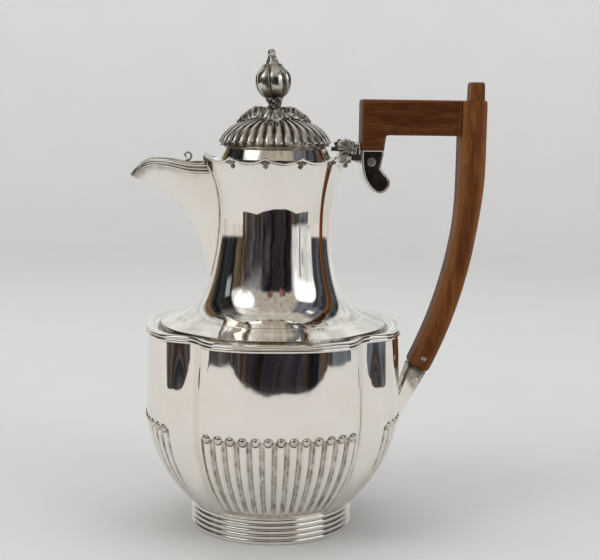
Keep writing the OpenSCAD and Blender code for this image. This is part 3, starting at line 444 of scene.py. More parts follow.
def makeBelly():
    a = bellyAngles(belly["perFlute"], belly["perStrip"])[None, :]
    z = bands(belly["rings"])[:, None]
    p = offPanel(a)
    inFan = np.abs(p) < fanAngle
    u = (p + fanAngle) / belly["pitch"]
    v = 2 * (u - np.floor(u)) - 1
    ridge = np.sqrt(unit(1 - (v / belly["ridge"]) ** 2))
    head, end = belly["beadZ"], belly["fluteEnd"]
    # the grooves stop in a round end under each bead, and run out above the foot
    groove = smoothStep((z - end + 1.5) / 3.5) * smoothStep((head + 0.6 - z) / 1.6)
    depth = np.where(inFan, groove * (1 - ridge) * belly["fluteDepth"], 0)
    wide, high = belly["beadWide"], belly["beadHigh"]
    reach = np.sqrt((v / wide) ** 2 + ((z - head) / high) ** 2)
    bead = np.where(inFan, np.sqrt(unit(1 - reach ** 2)), 0)
    moat = np.where(inFan, bell((reach - belly["moatAt"]) / belly["moatWide"]) * (np.abs(z - head) < 4), 0)
    r = lobed(bellyR(z), a, bellyLobing(z), stripFlare(z)) - depth
    outer = polarGrid(r + bead * belly["beadRise"] - belly["moatDepth"] * moat, a, z)
    # a dark line runs along both sides of every groove, and its floor is a little less dark
    line = bell((np.abs(v) - belly["ridge"] - 0.05) / 0.07)
    uneven = 0.8 + 0.2 * np.sin(z * 0.9 + 2.3 * np.floor(u)) * np.sin(z * 0.37 + np.floor(u))
    grimeAndShade = np.where(inFan, groove * (0.78 * (1 - ridge) ** 1.2 + 0.75 * line) * uneven, 0) + 0.85 * moat
    grimeAndShade = np.maximum(grimeAndShade, 0.55 * bead * uneven)
    grimeAndShade = np.maximum(grimeAndShade, np.where(inFan, 0.6 * bell((z - end + 0.4) / 1.1), 0))
    zIn = np.linspace(belly["top"], belly["footZ"], 14)[:, None]
    slope = belly["width"] / 2 / bellyDrop * np.maximum(0, belly["turn"] - zIn) / bellyDrop
    inset = belly["sheet"] * np.sqrt(1 + (slope * 2) ** 2) + np.where(zIn < belly["turn"], 1.0, 0.1)
    inner = polarGrid(lobed(bellyR(zIn) - inset, a, bellyLobing(zIn), stripFlare(zIn)), a, zIn)
    layer = np.vstack([grimeAndShade, np.full(inner.shape[:2], 0.25)])
    gridPiece("bellyShell", np.vstack([outer, inner]), silver, ["belly"], along=True, grimeAndShade=layer)


makeBelly()

# foot

foot = {"width": 76.0, "topWidth": 75.4, "height": 12.0, "reeds": 5, "rise": 0.9, "bore": 66.0}


def makeFoot():
    pitch = foot["height"] / foot["reeds"]
    profile, dirtAndShade = [(foot["bore"] / 2, 0.0)], [0.2]
    for i in range(foot["reeds"]):
        middle = pitch * (i + 0.5)
        side = (foot["width"] + (foot["topWidth"] - foot["width"]) * middle / foot["height"]) / 2 - foot["rise"]
        for s in np.linspace(-88, 88, 15):
            profile.append((side + foot["rise"] * cosD(s), middle + pitch / 2 * sinD(s)))
            dirtAndShade.append(0.9 * max(0, abs(s) / 90 - 0.62) / 0.38)       # darkening begins at 0.62 of the way round
    bore, height = foot["bore"] / 2, foot["height"]
    profile += [(bore + 1, height), (bore, height - 1), (bore, 0.0)]
    dirtAndShade += [0.3, 0.3, 0.2]
    lathe("reededFoot", profile, dirtAndShade, silver, ["foot_ring"], steps=320, sharp=60)


makeFoot()

# shoulder and its wire

shoulder = {
    "wireH": 1.6, "wireRise": 0.6, "wireIn": 2.6, "wireSet": 0.4, "wireLobes": 0.92,
    "joinR": 42.0, "rollH": 2.2, "rise": 3.5, "rollWide": 6.9,
    # the roll from outside to inside: mm out from the wire, share of its height, share of the belly's lobes
    "roll": [(0.1, 0, 0.92), (0.25, 0.36, 0.9), (-0.5, 0.68, 0.8), (-1.9, 0.8, 0.6), (-3.4, 0.64, 0.4),
             (-4.8, 0.28, 0.26), (-5.6, 0.08, 0.18), (-6.0, 0.12, 0.15), (-6.14, 0.5, 0.13), (-6.3, 0.98, 0.12)],
    "grooveAt": 5.75, "grooveWide": 0.8,  # where dirt lies behind the roll
}
wireTop = belly["top"] + shoulder["wireH"]
wireR = belly["width"] / 2 - shoulder["wireSet"]
slopeR = wireR - shoulder["rollWide"]


def shoulderZ(r):
    return wireTop + shoulder["rollH"] + 0.3 + shoulder["rise"] * (slopeR - r) / (slopeR - shoulder["joinR"])


neckLow = shoulderZ(shoulder["joinR"])


def lobedRows(rows, perPanel=170):
    a = np.arange(4 * perPanel)[None, :] * 90 / perPanel
    rows = np.asarray(rows, float)
    r, z, share = rows[:, 0:1], rows[:, 1:2], rows[:, 2:3]
    return polarGrid(lobed(r, a, share, belly["wireFlare"]), a, z)


def makeShoulder():
    r, joinR = wireR, shoulder["joinR"]
    rows = [(r + out, up * shoulder["rollH"], lobes) for out, up, lobes in shoulder["roll"]]
    for t in (0, 0.3, 0.65):
        at = slopeR + (joinR + 0.8 - slopeR) * t
        rows.append((at, shoulderZ(at) - wireTop, 0.1 * (1 - t) ** 2))
    rows.append((joinR + 0.8, neckLow - wireTop, 0))
    outside = curveThrough(rows, 8)
    inside = [(joinR - 1.6, neckLow - wireTop, 0), (47, 3.0, 0.1), (r - 7.2, 0.2, 0.1),
              (r - shoulder["wireIn"], 0, shoulder["wireLobes"])]
    rows = np.vstack([outside, inside])
    rows[:, 1] += wireTop
    # painted shade in the groove behind the roll, for the dark bar under it, and darker along the wire
    isOut = np.arange(len(rows)) < len(outside)
    groove = np.exp(-((rows[:, 0] - (r - shoulder["grooveAt"])) / shoulder["grooveWide"]) ** 4) * isOut
    seam = bell((rows[:, 1] - wireTop) / 0.3) * isOut
    gridPiece("shoulderSheet", lobedRows(rows), silver, ["shoulder"], along=True,
              grimeAndShade=(0.95 * groove + 0.8 * seam)[:, None])
    back, high, sides = -shoulder["wireIn"], shoulder["wireH"], np.linspace(-90, 90, 13)
    section = [(shoulder["wireRise"] * cosD(t), high / 2 * (1 + sinD(t))) for t in sides]
    section = [(back, 0)] + section + [(back, high)]
    rows = [(r + x, belly["top"] + y, shoulder["wireLobes"]) for x, y in section]
    dirtAndShade = np.array([0.3] + [min(0.95, max(0, abs(t) / 90 - 0.62) * 3.2) for t in sides] + [0.3])
    gridPiece("shoulderWire", lobedRows(rows), silver, ["shoulder_wire"], along=True, grimeAndShade=dirtAndShade[:, None], sharp=60)


makeShoulder()
print("belly, foot and shoulder built")

# neck and rim

neck = {
    "waistR": 26.3, "waistZ": 138.0, "rimZ": 172.6, "flare": 9.4, "curve": 2.5, "sweep": 8.4,
    "scallop": 26.4, "dip": 2.2, "wireH": 1.6, "sheet": 1.1, "seatZ": 170.4,
    "rings": [(0, 0.2, 16), (0.2, 1, 56)], "seam": 0.8,   # rings as shares of the height; degrees of darkening
}
spout = {
    "reach": 64.6, "top": 168.4, "foot": 116.0, "halfWidth": 12.5, "mouldingH": 4.2,
    "keel": 1.1, "wall": 1.4, "tipDrop": 7.0, "nose1": (-35.5, 140.0), "nose2": (-38.5, 151.5),
}
hinge = {"x": 32.2, "z": 176.8, "length": 12.0}
baseTurn = shoulder["joinR"] - 0.1 - neck["waistR"] - neck["sweep"]


def neckR(z):
    z = np.asarray(z, float)
    above = np.clip(z - neck["waistZ"], 0, None) / (neck["rimZ"] - neck["waistZ"])
    below = np.clip(neck["waistZ"] - z, 0, None) / (neck["waistZ"] - neckLow)
    return (neck["waistR"] + neck["flare"] * above ** neck["curve"]
            + neck["sweep"] * below ** 2 + baseTurn * below ** 8)


def neckSlope(z):
    return (neckR(z + 0.01) - neckR(z - 0.01)) / 0.02


rimR = float(neckR(neck["rimZ"]))
scallopHalf = rimR * sinD(neck["scallop"] / 2)
scallopR = (scallopHalf ** 2 + neck["dip"] ** 2) / (2 * neck["dip"])


def rimHeight(a):
    # a is the angle from the spout's axis; the points of the rim lie at whole scallops
    off = a - (np.floor(a / neck["scallop"]) + 0.5) * neck["scallop"]
    inside = np.clip(scallopR ** 2 - (rimR * sinD(off)) ** 2, 0, None)
    return neck["rimZ"] - neck["dip"] + scallopR - np.sqrt(inside)


def rootHalf(v, inset=0.0):
    return (spout["halfWidth"] - inset) * abs(v) ** spout["keel"]


def rootZ(v, inset=0.0):
    low = spout["foot"] + 3 * inset
    return low + (spout["top"] - low) * abs(v) ** spout["wall"]


def makeNeck():
    half = rootHalf(1, neck["sheet"])
    edgeA = math.asin(half / float(neckR(spout["top"]))) / degrees
    notch = math.asin((hinge["length"] / 2 + 0.2) / rimR) / degrees
    # angles from the spout's axis: dense over the spout's opening, and a double point at each side of it
    across, gap = np.linspace(-1, 1, 61), 0.02
    opening = np.sign(across) * np.abs(across) ** 1.3 * edgeA
    rest = np.linspace(edgeA + gap, 180 - notch, 300)
    back = np.linspace(180 - notch + gap, 180 + notch - gap, 24)
    a = np.concatenate([opening, rest, back, 360 - rest[::-1]])
    angle = np.abs((a + 180) % 360 - 180)
    v = np.minimum(1, sinD(angle) * float(neckR(spout["top"])) / half) ** (1 / spout["keel"])
    tops = np.where(angle <= edgeA, rootZ(v, neck["sheet"]),
                    np.where(180 - angle < notch, neck["seatZ"], rimHeight(angle)))
    z = neckLow + bands(neck["rings"])[:, None] * (tops - neckLow)
    # points keep to level rows where the edge is high, so that the sheet shades evenly
    outer = polarGrid(neckR(z), 180 + a[None, :], z)
    zTop = z[::-1]
    inset = neck["sheet"] / np.sqrt(1 + neckSlope(zTop) ** 2)
    inner = polarGrid(neckR(zTop) - inset, 180 + a[None, :], zTop)[::4]
    grid = np.vstack([outer, inner])
    beside = np.where((angle > edgeA) & (angle < edgeA + neck["seam"]), 1 - (angle - edgeA) / neck["seam"], 0)
    high = smoothStep((z - spout["foot"]) / 12)
    grimeAndShade = 0.8 * beside * high + 0.35 * bell((z - tops) / 1.2) * (angle > edgeA)
    layer = np.vstack([grimeAndShade, 0.18 + 0.22 * smoothStep((zTop[::4] - 154) / 8)])
    gridPiece("neckSheet", grid, silver, ["neck"], along=True, grimeAndShade=layer, sharp=50)


makeNeck()


def joinPieces(name, pieces, replaced):
    with bpy.context.temp_override(active_object=pieces[0], selected_editable_objects=pieces,
                                   selected_objects=pieces):
        bpy.ops.object.join()
    pieces[0].name = name
    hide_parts(replaced)


rimWire = {"rise": 0.46, "high": 0.58, "drop": 0.6, "steps": 24, "swell": 0.35, "swellWide": 0.16}


def makeRimWire():
    start = math.asin((spout["halfWidth"] + 1) / rimR) / degrees
    end = 180 - math.asin((hinge["length"] / 2 + 1) / rimR) / degrees
    a = np.linspace(start, end, int((end - start) / neck["scallop"] * rimWire["steps"]))
    ring = cosD(circle(12)), sinD(circle(12))
    parts = []
    for side in (-1, 1):
        rings = []
        for angle in a:
            top = float(rimHeight(angle))
            off = abs((angle / neck["scallop"] + 0.5) % 1 - 0.5) * 2       # 0 at a point of the rim
            swell = 1 + rimWire["swell"] * bell(off / rimWire["swellWide"])
            z = top - rimWire["drop"] + ring[1] * rimWire["high"] * swell
            r = neckR(z) + 0.12 + (ring[0] * rimWire["rise"] + 0.1) * swell
            rings.append(polarGrid(r, 180 + side * angle, z)[::side])
        parts.append(gridPiece(f"rimWire{side}", np.array(rings), silver, capped=True))
    joinPieces("rimWires", parts, "rim_wire")


makeRimWire()

rimLeaf = {"length": 4.6, "width": 5.8, "rise": 1.5}


def makeRimLeaves():
    # a small trefoil hangs below every point of the rim: two round side lobes and a drop
    low, parts = neck["rimZ"] - neck["wireH"] + 0.1, []
    s = np.linspace(0, 1, 25)[:, None]
    c = np.linspace(-1, 1, 25)[None, :]
    side, drop = bell((s - 0.26) / 0.17), bell((s - 0.74) / 0.2)
    half = rimLeaf["width"] / 2 * (0.16 + 0.84 * side + 0.30 * drop) * np.sqrt(1 - s ** 8)
    lobes = side * bell((np.abs(c) - 0.66) / 0.26) + (0.35 + 0.75 * drop) * bell(c / 0.42)
    rim = unit(1 - np.abs(c) ** 6) * unit(1 - s ** 8)
    proud = rimLeaf["rise"] * unit(lobes) * rim
    down = rimLeaf["length"] * (s - 0.06 - 0.14 * np.abs(c) ** 2 * side)
    # painted shade: the trefoils are darkened all over, most round and between their lobes, for the deep shadows
    # among them
    dirtAndShade = np.clip(1.5 - 0.95 * unit(lobes), 0.5, 1)
    r0, tilt = float(neckR(low)), math.atan(float(neckSlope(low)))
    x = r0 + 0.1 + proud * math.cos(tilt) - down * math.sin(tilt)
    z = low - down * math.cos(tilt) - proud * math.sin(tilt)
    grid = np.stack(np.broadcast_arrays(x, c * half, z), -1)
    for way in (-1, 1):
        for k in range(1, 7):
            leaf = turned(grid, 180 + way * k * neck["scallop"])
            parts.append(gridPiece(f"rimLeaf{way}{k}", leaf[::-1], castSilver, around=False, grimeAndShade=dirtAndShade[::-1]))
    joinPieces("rimLeaves", parts, "rim_shells")


makeRimLeaves()

# spout


def bezier(a, b, c, d, t):
    a, b, c, d = (np.asarray(p, float) for p in (a, b, c, d))
    return (1 - t) ** 3 * a + 3 * (1 - t) ** 2 * t * b + 3 * (1 - t) * t * t * c + t ** 3 * d


# section of the reeds: mm out from the sheet, share of the moulding's height, darkening
spoutReeds = [
    (0.2, -0.35, 0.3), (0.62, -0.38, 0), (0.95, -0.15, 0), (1.1, 0.08, 0.05), (0.8, 0.24, 0.6), (0.42, 0.29, 0.95),
    (0.7, 0.36, 0.3), (0.9, 0.45, 0), (0.75, 0.55, 0.5), (0.35, 0.6, 0.95), (0.62, 0.7, 0.3), (0.75, 0.8, 0),
    (0.6, 0.92, 0.4), (0.2, 1, 0.8),
]
edgeStartX = -math.sqrt(float(neckR(spout["top"])) ** 2 - spout["halfWidth"] ** 2)


def edgePoint(s):
    x = edgeStartX + (-spout["reach"] - edgeStartX) * s
    z = spout["top"] + 1.7 * float(smoothStep((s - 0.2) / 0.4)) - spout["tipDrop"] * max(0, (s - 0.72) / 0.28) ** 2
    return np.array([x, z])


def edgeWidth(s):
    return spout["halfWidth"] + (1.4 - spout["halfWidth"]) * s ** 1.8


def nosePoint(s):
    return bezier((-float(neckR(spout["foot"])), spout["foot"]), spout["nose1"], spout["nose2"],
                  (-spout["reach"] + 1, edgePoint(1)[1] - 1.6), s)


def spoutPoint(s, v, inset):
    n, e = nosePoint(s), edgePoint(s)
    floorShare = min(0.75, 1.3 * inset / float(np.linalg.norm(e - n)))
    h = floorShare + (1 - floorShare) * abs(v) ** spout["wall"]
    side = math.copysign(1, v) if v else 0
    y = max(0.15, edgeWidth(s) - inset) * abs(v) ** spout["keel"] * side
    p = n + (e - n) * h
    rz, ry = rootZ(v, inset), rootHalf(v, inset) * side
    rx = -math.sqrt((float(neckR(rz)) + 0.05) ** 2 - ry * ry)
    w = (1 - s) ** 4
    if s == 0:
        return np.array([rx, ry, rz])
    start = -float(neckR(spout["foot"]))
    return np.array([p[0] + w * (rx - (start + (edgePoint(0)[0] - start) * h)), y, p[1]])


def reedDepth(s):
    return spout["mouldingH"] + (1.5 - spout["mouldingH"]) * s ** 3


def makeSpout():
    rows, cols = 64, 23
    across = np.linspace(1, -1, 2 * cols + 1)
    rings, dirtAndShade = [], []
    for s in [0, 0.002, 0.005, 0.009] + [i / rows for i in range(1, rows + 1)]:
        outer = [spoutPoint(s, v, 0) for v in across]
        inner = [spoutPoint(s, v, neck["sheet"]) for v in across[::-1]]
        rings.append(outer + inner)
        seam = 0.85 * bell(s / 0.009)
        # painted shade under the reeds, most of all near the tip
        long = float(np.linalg.norm(edgePoint(s) - nosePoint(s)))
        below = [(1 - abs(v) ** spout["wall"]) * long - reedDepth(s) for v in across]
        under = [(0.25 + 0.4 * s) * bell((b - 0.4) / (0.8 + 1.2 * s)) for b in below]
        dirtAndShade.append([max(seam, 0.25 * abs(v) ** 8, u) for v, u in zip(across, under)] + [0.4] * len(across))
    gridPiece("spoutSheet", np.array(rings), silver, ["spout"], grimeAndShade=np.array(dirtAndShade), sharp=50,
              capped="wall")
    # reeds that follow the spout's edge from one side of the neck round the tip to the other
    reach = 1 - (1 - np.linspace(0.02, 1, 70)) ** 1.4
    path = [(t, 1) for t in reach] + [(t, -1) for t in reach[::-1]]
    rings = []
    for i, (s, v) in enumerate(path):
        before, after = path[max(0, i - 1)], path[min(len(path) - 1, i + 1)]
        d = (spoutPoint(*after, 0) - spoutPoint(*before, 0))[:2]
        d = d / np.linalg.norm(d)
        out = np.array([d[1], -d[0], 0])
        top, n, e = spoutPoint(s, v, 0), nosePoint(s), edgePoint(s)
        drop = min(0.8, reedDepth(s) / float(np.linalg.norm(e - n)))
        low = spoutPoint(s, v * (1 - drop) ** (1 / spout["wall"]), 0)
        # it stands a little further off where it turns round the tip
        off = 0.45 * float(smoothStep((s - 0.85) / 0.1))
        rings.append([(top - np.array([0, 0, q]) if q < 0 else top + (low - top) * q) + (p + off) * out
                      for p, q, _ in spoutReeds])
    gridPiece("spoutReeds", np.array(rings), silver, ["spout_moulding"], capped=True,
              grimeAndShade=[dirtAndShade for _, _, dirtAndShade in spoutReeds], sharp=70)


makeSpout()

spoutCurl = {"at": 0.27, "radius": 2.2, "wire": 0.55, "from": -110, "to": 250}


def makeSpoutCurl():
    # a small open curl on the far edge of the spout, near the neck
    at, n = spoutCurl["at"], 48
    edge = edgePoint(at)
    y0 = edgeWidth(at) - neck["sheet"] / 2
    z0 = edge[1] + spoutCurl["radius"] + 0.55
    rings = []
    for i in range(n + 1):
        t = i / n
        a = spoutCurl["from"] + (spoutCurl["to"] - spoutCurl["from"]) * t
        w = spoutCurl["wire"] * (1 - 0.25 * t) * (1 if i < n - 2 else 0.6)
        r = spoutCurl["radius"] * (1 - 0.6 * t)
        rings.append([(edge[0] + (r + w * cosD(b)) * cosD(a), y0 + 1.4 * w * sinD(b),
                       z0 + (r + w * cosD(b)) * sinD(a)) for b in circle(12)])
    grimeAndShade = 0.3 + 0.6 * unit(-cosD(circle(12)))
    gridPiece("spoutCurl", np.array(rings), castSilver, ["spout_curl"], capped=True, grimeAndShade=grimeAndShade)


makeSpoutCurl()
print("neck, rim and spout built")

# lid

lid = {
    "width": 51.4, "bandH": 5.8, "domeH": 13.2, "bandZ": 170.8,
    "bandFoot": 0.5, "bandHead": 2.3, "bandT": 0.8, "ledge": 2.3,    # the band's face leans inward
    "gadroons": 34, "perGadroon": 18, "depth": 0.95, "dropEnd": 7.0,
    "lobeWide": 0.86, "fillet": 0.12, "filletRise": 0.42,
    "rings": [(0, 14, 16), (14, 76, 30)],   # degrees up the dome
    "lining": [(12.0, 187.6), (19.0, 184.2), (23.0, 178.6)],         # radius and height inside the dome
    "wall": 1.1, "bore": 1.8,
}
bandTop = lid["bandZ"] + lid["bandH"]
domeBase = bandTop + 0.5
domeR = lid["width"] / 2 - 0.2
leafSeat = domeBase + lid["domeH"]


def makeBand():
    r, low, ledge = lid["width"] / 2, lid["bandZ"], lid["bandZ"] + lid["wall"]
    foot, head, back = r + lid["bandFoot"], r - lid["bandHead"], r - lid["bandHead"] - lid["bandT"]
    # radius, height, darkening
    rows = [(r - lid["ledge"], low, 0.2), (foot - 0.25, low, 0), (foot, low + 0.25, 0), (head, bandTop - 0.5, 0),
            (head - 0.1, bandTop - 0.2, 0.5), (head, bandTop, 0.3), (back, bandTop, 0), (back, ledge, 0),
            (r - lid["ledge"], ledge, 0), (r - lid["ledge"], low, 0.2)]
    lathe("lidBand", [row[:2] for row in rows], [row[2] for row in rows], silver, ["lid_band"], "lid")


def makeDome():
    a = circle(lid["gadroons"] * lid["perGadroon"])[None, :]
    t = np.concatenate([[-1.5], bands(lid["rings"])])[:, None]
    v = sawWave(a * lid["gadroons"] / 360)
    end = lid["dropEnd"]
    body = np.sqrt(unit(1 - (v / lid["lobeWide"]) ** 2))
    fillet = unit(1 - ((v - 1) / lid["fillet"]) ** 2) * lid["filletRise"]
    # the lobes end in a round drop above the band and flatten toward the top
    lobeH = smoothStep((t - 0.5) / 6) * (1 - 0.55 * smoothStep((t - 30) / 46)) * lid["depth"]
    roundEnd = np.sqrt(unit(1 - unit((end - t) / end) ** 2 - (v / 0.98) ** 2))
    height = np.maximum(body * np.where(t < end, roundEnd, 1), fillet * smoothStep((t - 6) / 5))
    sink = 0.9 * lid["depth"] * np.where(t < 0, 0.2, 1) - lobeH * height * (1 + 0.42 * bell((t - 5) / 4))
    dome = polarGrid((domeR - sink) * cosD(t), a, domeBase + (lid["domeH"] - sink) * sinD(t))
    # tarnish and painted shade darken the grooves; painted shade darkens the lobes toward the top, under the
    # leaves, and the crests are left clean so that they catch narrow highlights
    topShade = 0.85 * smoothStep((t - 8) / 32) * (1 - 0.75 * bell((v - 0.1) / 0.22))
    grimeAndShade = unit(1.3 - height * 1.45) * (0.8 + 0.2 * smoothStep((t - 25) / 35)) + topShade
    # painted shade: dark dots between the lobes' drop ends, standing in for the dark that these round ends mirror
    grimeAndShade = np.maximum(grimeAndShade, (t < 5) * smoothStep((v - 0.45) / 0.3))
    # radius, height and darkening of the plain rings below the dome, and then of the cap and the lining; the cap
    # under the leaves is darkened as painted shade
    bore, under = lid["bore"], leafSeat - lid["wall"]
    first = [(lid["width"] / 2 - 2.9, bandTop, 0.6)]
    last = [(6.0, leafSeat, 0.8), (bore, leafSeat, 0.8), (bore, under, 0.2), (5.0, under, 0.2)]
    last += [(r, z, 0.2) for r, z in lid["lining"]]
    first, last = (np.array(rows)[:, :, None] for rows in (first, last))
    grid = np.vstack([polarGrid(first[:, 0], a, first[:, 1]), dome, polarGrid(last[:, 0], a, last[:, 1])])
    layer = np.vstack([first[:, 2] + 0 * a, grimeAndShade, last[:, 2] + 0 * a])
    gridPiece("gadroonedDome", grid, budSilver, ["lid_dome"], "lid", along=True, grimeAndShade=layer, sharp=60)


makeBand()
makeDome()

leafShape = {
    "rows": 34, "cols": 25, "arch": 3.6, "droop": 3.3, "thick": 0.7, "longest": 17.0,
    "root": 2.6, "tooth": 0.34, "sweep": 2.4, "fold": 0.75, "vein": 0.45, "curl": 4.6, "twist": 0.7,
    "crumple": 0.34,
    # direction, reach, half width and number of side veins of each leaf
    "blades": [(-8, 16.4, 5.8, 5), (82, 17.0, 5.8, 5), (174, 17.6, 5.8, 5), (-104, 14.2, 5.4, 4),
               (-54, 11.0, 3.4, 3), (-146, 11.2, 3.4, 3), (36, 11.0, 3.4, 3), (128, 11.0, 3.4, 3)],
    # radius and height of the boss that carries them
    "boss": [(0.01, 0.05), (3.6, 0.05), (4.2, 0.5), (3.4, 1.5), (1.8, 1.7), (1.8, 0.3), (0.01, 0.3)],
}


def domeTop(r):
    return domeBase + lid["domeH"] * np.sqrt(np.maximum(0, 1 - (r / domeR) ** 2))


def makeLeaves():
    shape, parts = leafShape, []
    t = np.linspace(0, 1, shape["rows"])[:, None]        # along a leaf
    q = np.linspace(-1, 1, shape["cols"])[None, :]       # across it
    side = np.abs(q)
    for k, (angle, far, wide, veins) in enumerate(shape["blades"]):
        size = far / shape["longest"]
        teeth = 1 - shape["tooth"] * ((t * veins) % 1) ** 3 * (t > 0.2)
        half = wide * (0.34 + 0.66 * np.sin(math.pi * t ** 0.85) ** 0.7) * teeth * np.sqrt(1 - t ** 7)
        # side veins sweep forward, so the outer edge reads as teeth
        x = shape["root"] + (far - shape["root"]) * t + shape["sweep"] * side * (1 - t) * t
        share = np.minimum(1, x / far)
        z = leafSeat + 0.8 + shape["arch"] * np.sin(math.pi * share ** 0.8) * (0.55 + 0.45 * size)
        z = z - shape["droop"] * share ** 3 * size - shape["fold"] * bell(q / 0.13)
        vein = shape["vein"] * np.cos(2 * math.pi * (t * veins - 0.9 * side)) * np.minimum(1, 3 * side)
        vein = vein * (0.3 + 0.7 * t)
        curl = shape["twist"] * np.sin(3 * q + k) * q * q - shape["curl"] * side ** 2.4 * (0.45 + 0.55 * t)
        crumple = shape["crumple"] * np.sin(11 * t + 5 * q + 2 * k) * np.sin(6 * q + 4 * t + k)
        z = np.maximum(z + vein + curl + crumple, domeTop(np.hypot(x, half * q)) + 0.25)
        top = np.stack(np.broadcast_arrays(x, half * q, z), -1)
        # painted shade: darker at the leaves' bases, in the midrib's fold and the vein hollows, and over the whole
        # underside; the edges are left clean so that they catch bright highlights
        dirtAndShade = np.minimum(1, 0.3 + 1.6 * np.maximum(0, -vein) + 0.95 * bell(q / 0.14) + 0.8 * (1 - t) ** 2)
        dirtAndShade = dirtAndShade * (1 - 0.85 * smoothStep((side - 0.8) / 0.15))
        below = top[:, ::-1] - np.array([0, 0, shape["thick"]])
        layer = np.concatenate([dirtAndShade, np.full(dirtAndShade.shape, 0.8)], axis=1)
        parts.append(gridPiece(f"leaf{k}", turned(np.concatenate([top, below], axis=1), angle), castSilver,
                               body="lid", grimeAndShade=layer, capped=True, sharp=50))
    boss = [(r, leafSeat + z) for r, z in shape["boss"]]
    parts.append(lathe("leafBoss", boss, [0.6] * len(boss), castSilver, body="lid", steps=48))
    joinPieces("finialLeaves", parts, "lid_leaves")


makeLeaves()
print("lid built")

# finial

finial = {
    "lean": 4.0, "stemR": 3.1, "budW": 16.9, "budZ": 205.6, "budHalf": 8.65, "lobes": 6, "groove": 0.15,
    "budLow": 197.8, "budHigh": 213.2,
    "crest": -80,           # direction of one lobe's crest
    "top": 220.0, "beadR": 1.85,
    # radius and height of the stem above its foot, and of the tip above the bud
    "stem": [(3.1, 0), (3.2, 0.8), (2.9, 1.8), (2.7, 3.2), (3.0, 4.5), (3.6, 5.7)],
    "tip": [(4.3, -0.8), (3.55, -0.1), (2.8, 1.1), (2.2, 2.6), (1.75, 3.7)],
}
stemLow = leafSeat + 0.8
budLow, budHigh = finial["budLow"], finial["budHigh"]


def leaned(grid):
    a = finial["lean"] * degrees
    x, z = grid[..., 0] + finial["stemR"], grid[..., 2] - stemLow
    out = grid.copy()
    out[..., 0] = x * math.cos(a) - z * math.sin(a) - finial["stemR"]
    out[..., 2] = x * math.sin(a) + z * math.cos(a) + stemLow
    return out


def makeStem():
    # a rough calyx that opens toward the bud
    a = circle(120)[None, :]
    knots = [(r, stemLow + z) for r, z in finial["stem"]] + [(4.3, budLow + 0.35), (3.4, budLow + 0.6)]
    profile = curveThrough(knots, 6)
    r, z = profile[:, 0:1], profile[:, 1:2]
    rough = (0.28 * np.sin(a * 5 * degrees + z * 2.1) + 0.22 * np.sin(a * 9 * degrees - z * 3.3)
             + 0.16 * np.sin(a * 17 * degrees + z * 5.0))
    fade = unit(np.sin(np.linspace(0.12, 3.0, len(profile))))[:, None]
    flat = 0 * a
    r = np.vstack([flat + 0.01, np.maximum(r + rough * fade - 0.1, 1.6), flat + 0.01])
    z = np.vstack([[[stemLow]], z, [[budLow + 0.6]]])
    grimeAndShade = unit(0.75 - np.vstack([flat, rough, flat]) * 1.4)
    gridPiece("finialStem", leaned(polarGrid(r, a, z)), castSilver, ["finial_stem"], "lid", grimeAndShade=grimeAndShade)


def makeBud():
    a = circle(360)[None, :]
    t = np.linspace(0, 1, 54)[:, None]
    z = budLow + (budHigh - budLow) * t
    r = finial["budW"] / 2 * np.sqrt(unit(1 - ((z - finial["budZ"]) / finial["budHalf"]) ** 2))
    r = r * (1 - 0.13 * smoothStep((t - 0.7) / 0.26) * smoothStep((1.02 - t) / 0.1))
    v = sawWave((a - finial["crest"]) * finial["lobes"] / 360 + 0.5)
    # each lobe is full and round, with a thin fillet standing in the groove between two
    lobe = np.maximum(np.sqrt(unit(1 - (v / 0.9) ** 2)), 0.62 * unit(1 - ((v - 1) / 0.12) ** 2))
    r = r * (1 - unit(6 * t * (1 - t)) * finial["groove"] * (1 - lobe))
    # painted shade over the lower half of the bud, which would otherwise mirror the pale floor; the grooves between
    # the lobes and the top are darker too
    grimeAndShade = unit(1.25 - lobe * 1.5) + unit(1.15 - 2.2 * t) ** 0.8 + 0.8 * unit(4 * t - 3)
    gridPiece("finialBud", leaned(polarGrid(r, a, z)), budSilver, ["finial_bud"], "lid", capped=True,
              grimeAndShade=grimeAndShade, sharp=60)


def makeTip():
    a, top, beadR = circle(72)[None, :], finial["top"], finial["beadR"]
    knots = [(r, budHigh + z) for r, z in finial["tip"]] + [(1.5, top - 2.95)]
    profile = np.vstack([[0.01, knots[0][1]], curveThrough(knots, 5),
                         arcPoints(0, top - beadR, beadR, -32, 89.5, 16)])
    r, z = profile[:, 0:1], profile[:, 1:2]
    wobble = 0.05 * sinD(a * 6) + 0.04 * np.sin(a * 4 * degrees + z * 2)
    r = np.maximum(r * (1 + wobble * (z > budHigh + 1)), 0.01)
    grimeAndShade = unit(0.35 + 0.5 * bell((z - top + 3.6) / 0.5) - 4 * wobble)
    gridPiece("finialTip", leaned(polarGrid(r, a, z)), castSilver, ["finial_tip"], "lid", grimeAndShade=grimeAndShade)


makeStem()
makeBud()
makeTip()
print("finial built")

# wooden handle

handle = {
    "armX": 39.2, "armLow": 182.0, "armDepth": 16.2, "thick": 13.0, "gripX": 97.2, "gripDepth": 12.2,
    "endDepth": 10.4, "bow": 210.0, "bowZ": 169.0, "slimZ": 135.0, "endZ": 73.6, "pegH": 8.4, "pegDepth": 6.8,
    "socketZ": 175.6, "socketDepth": 10.4, "socketThick": 11.0, "round": 1.1,
    "strapTop": 54.0, "strapFoot": 36.0,  # where the lower socket meets the belly
}
armTop = handle["armLow"] + handle["armDepth"]
gripIn = handle["gripX"] - handle["gripDepth"]


def gripMid(z):
    dip = handle["bow"] - math.sqrt(handle["bow"] ** 2 - (handle["bowZ"] - z) ** 2) if z < handle["bowZ"] else 0
    return handle["gripX"] - handle["gripDepth"] / 2 - dip


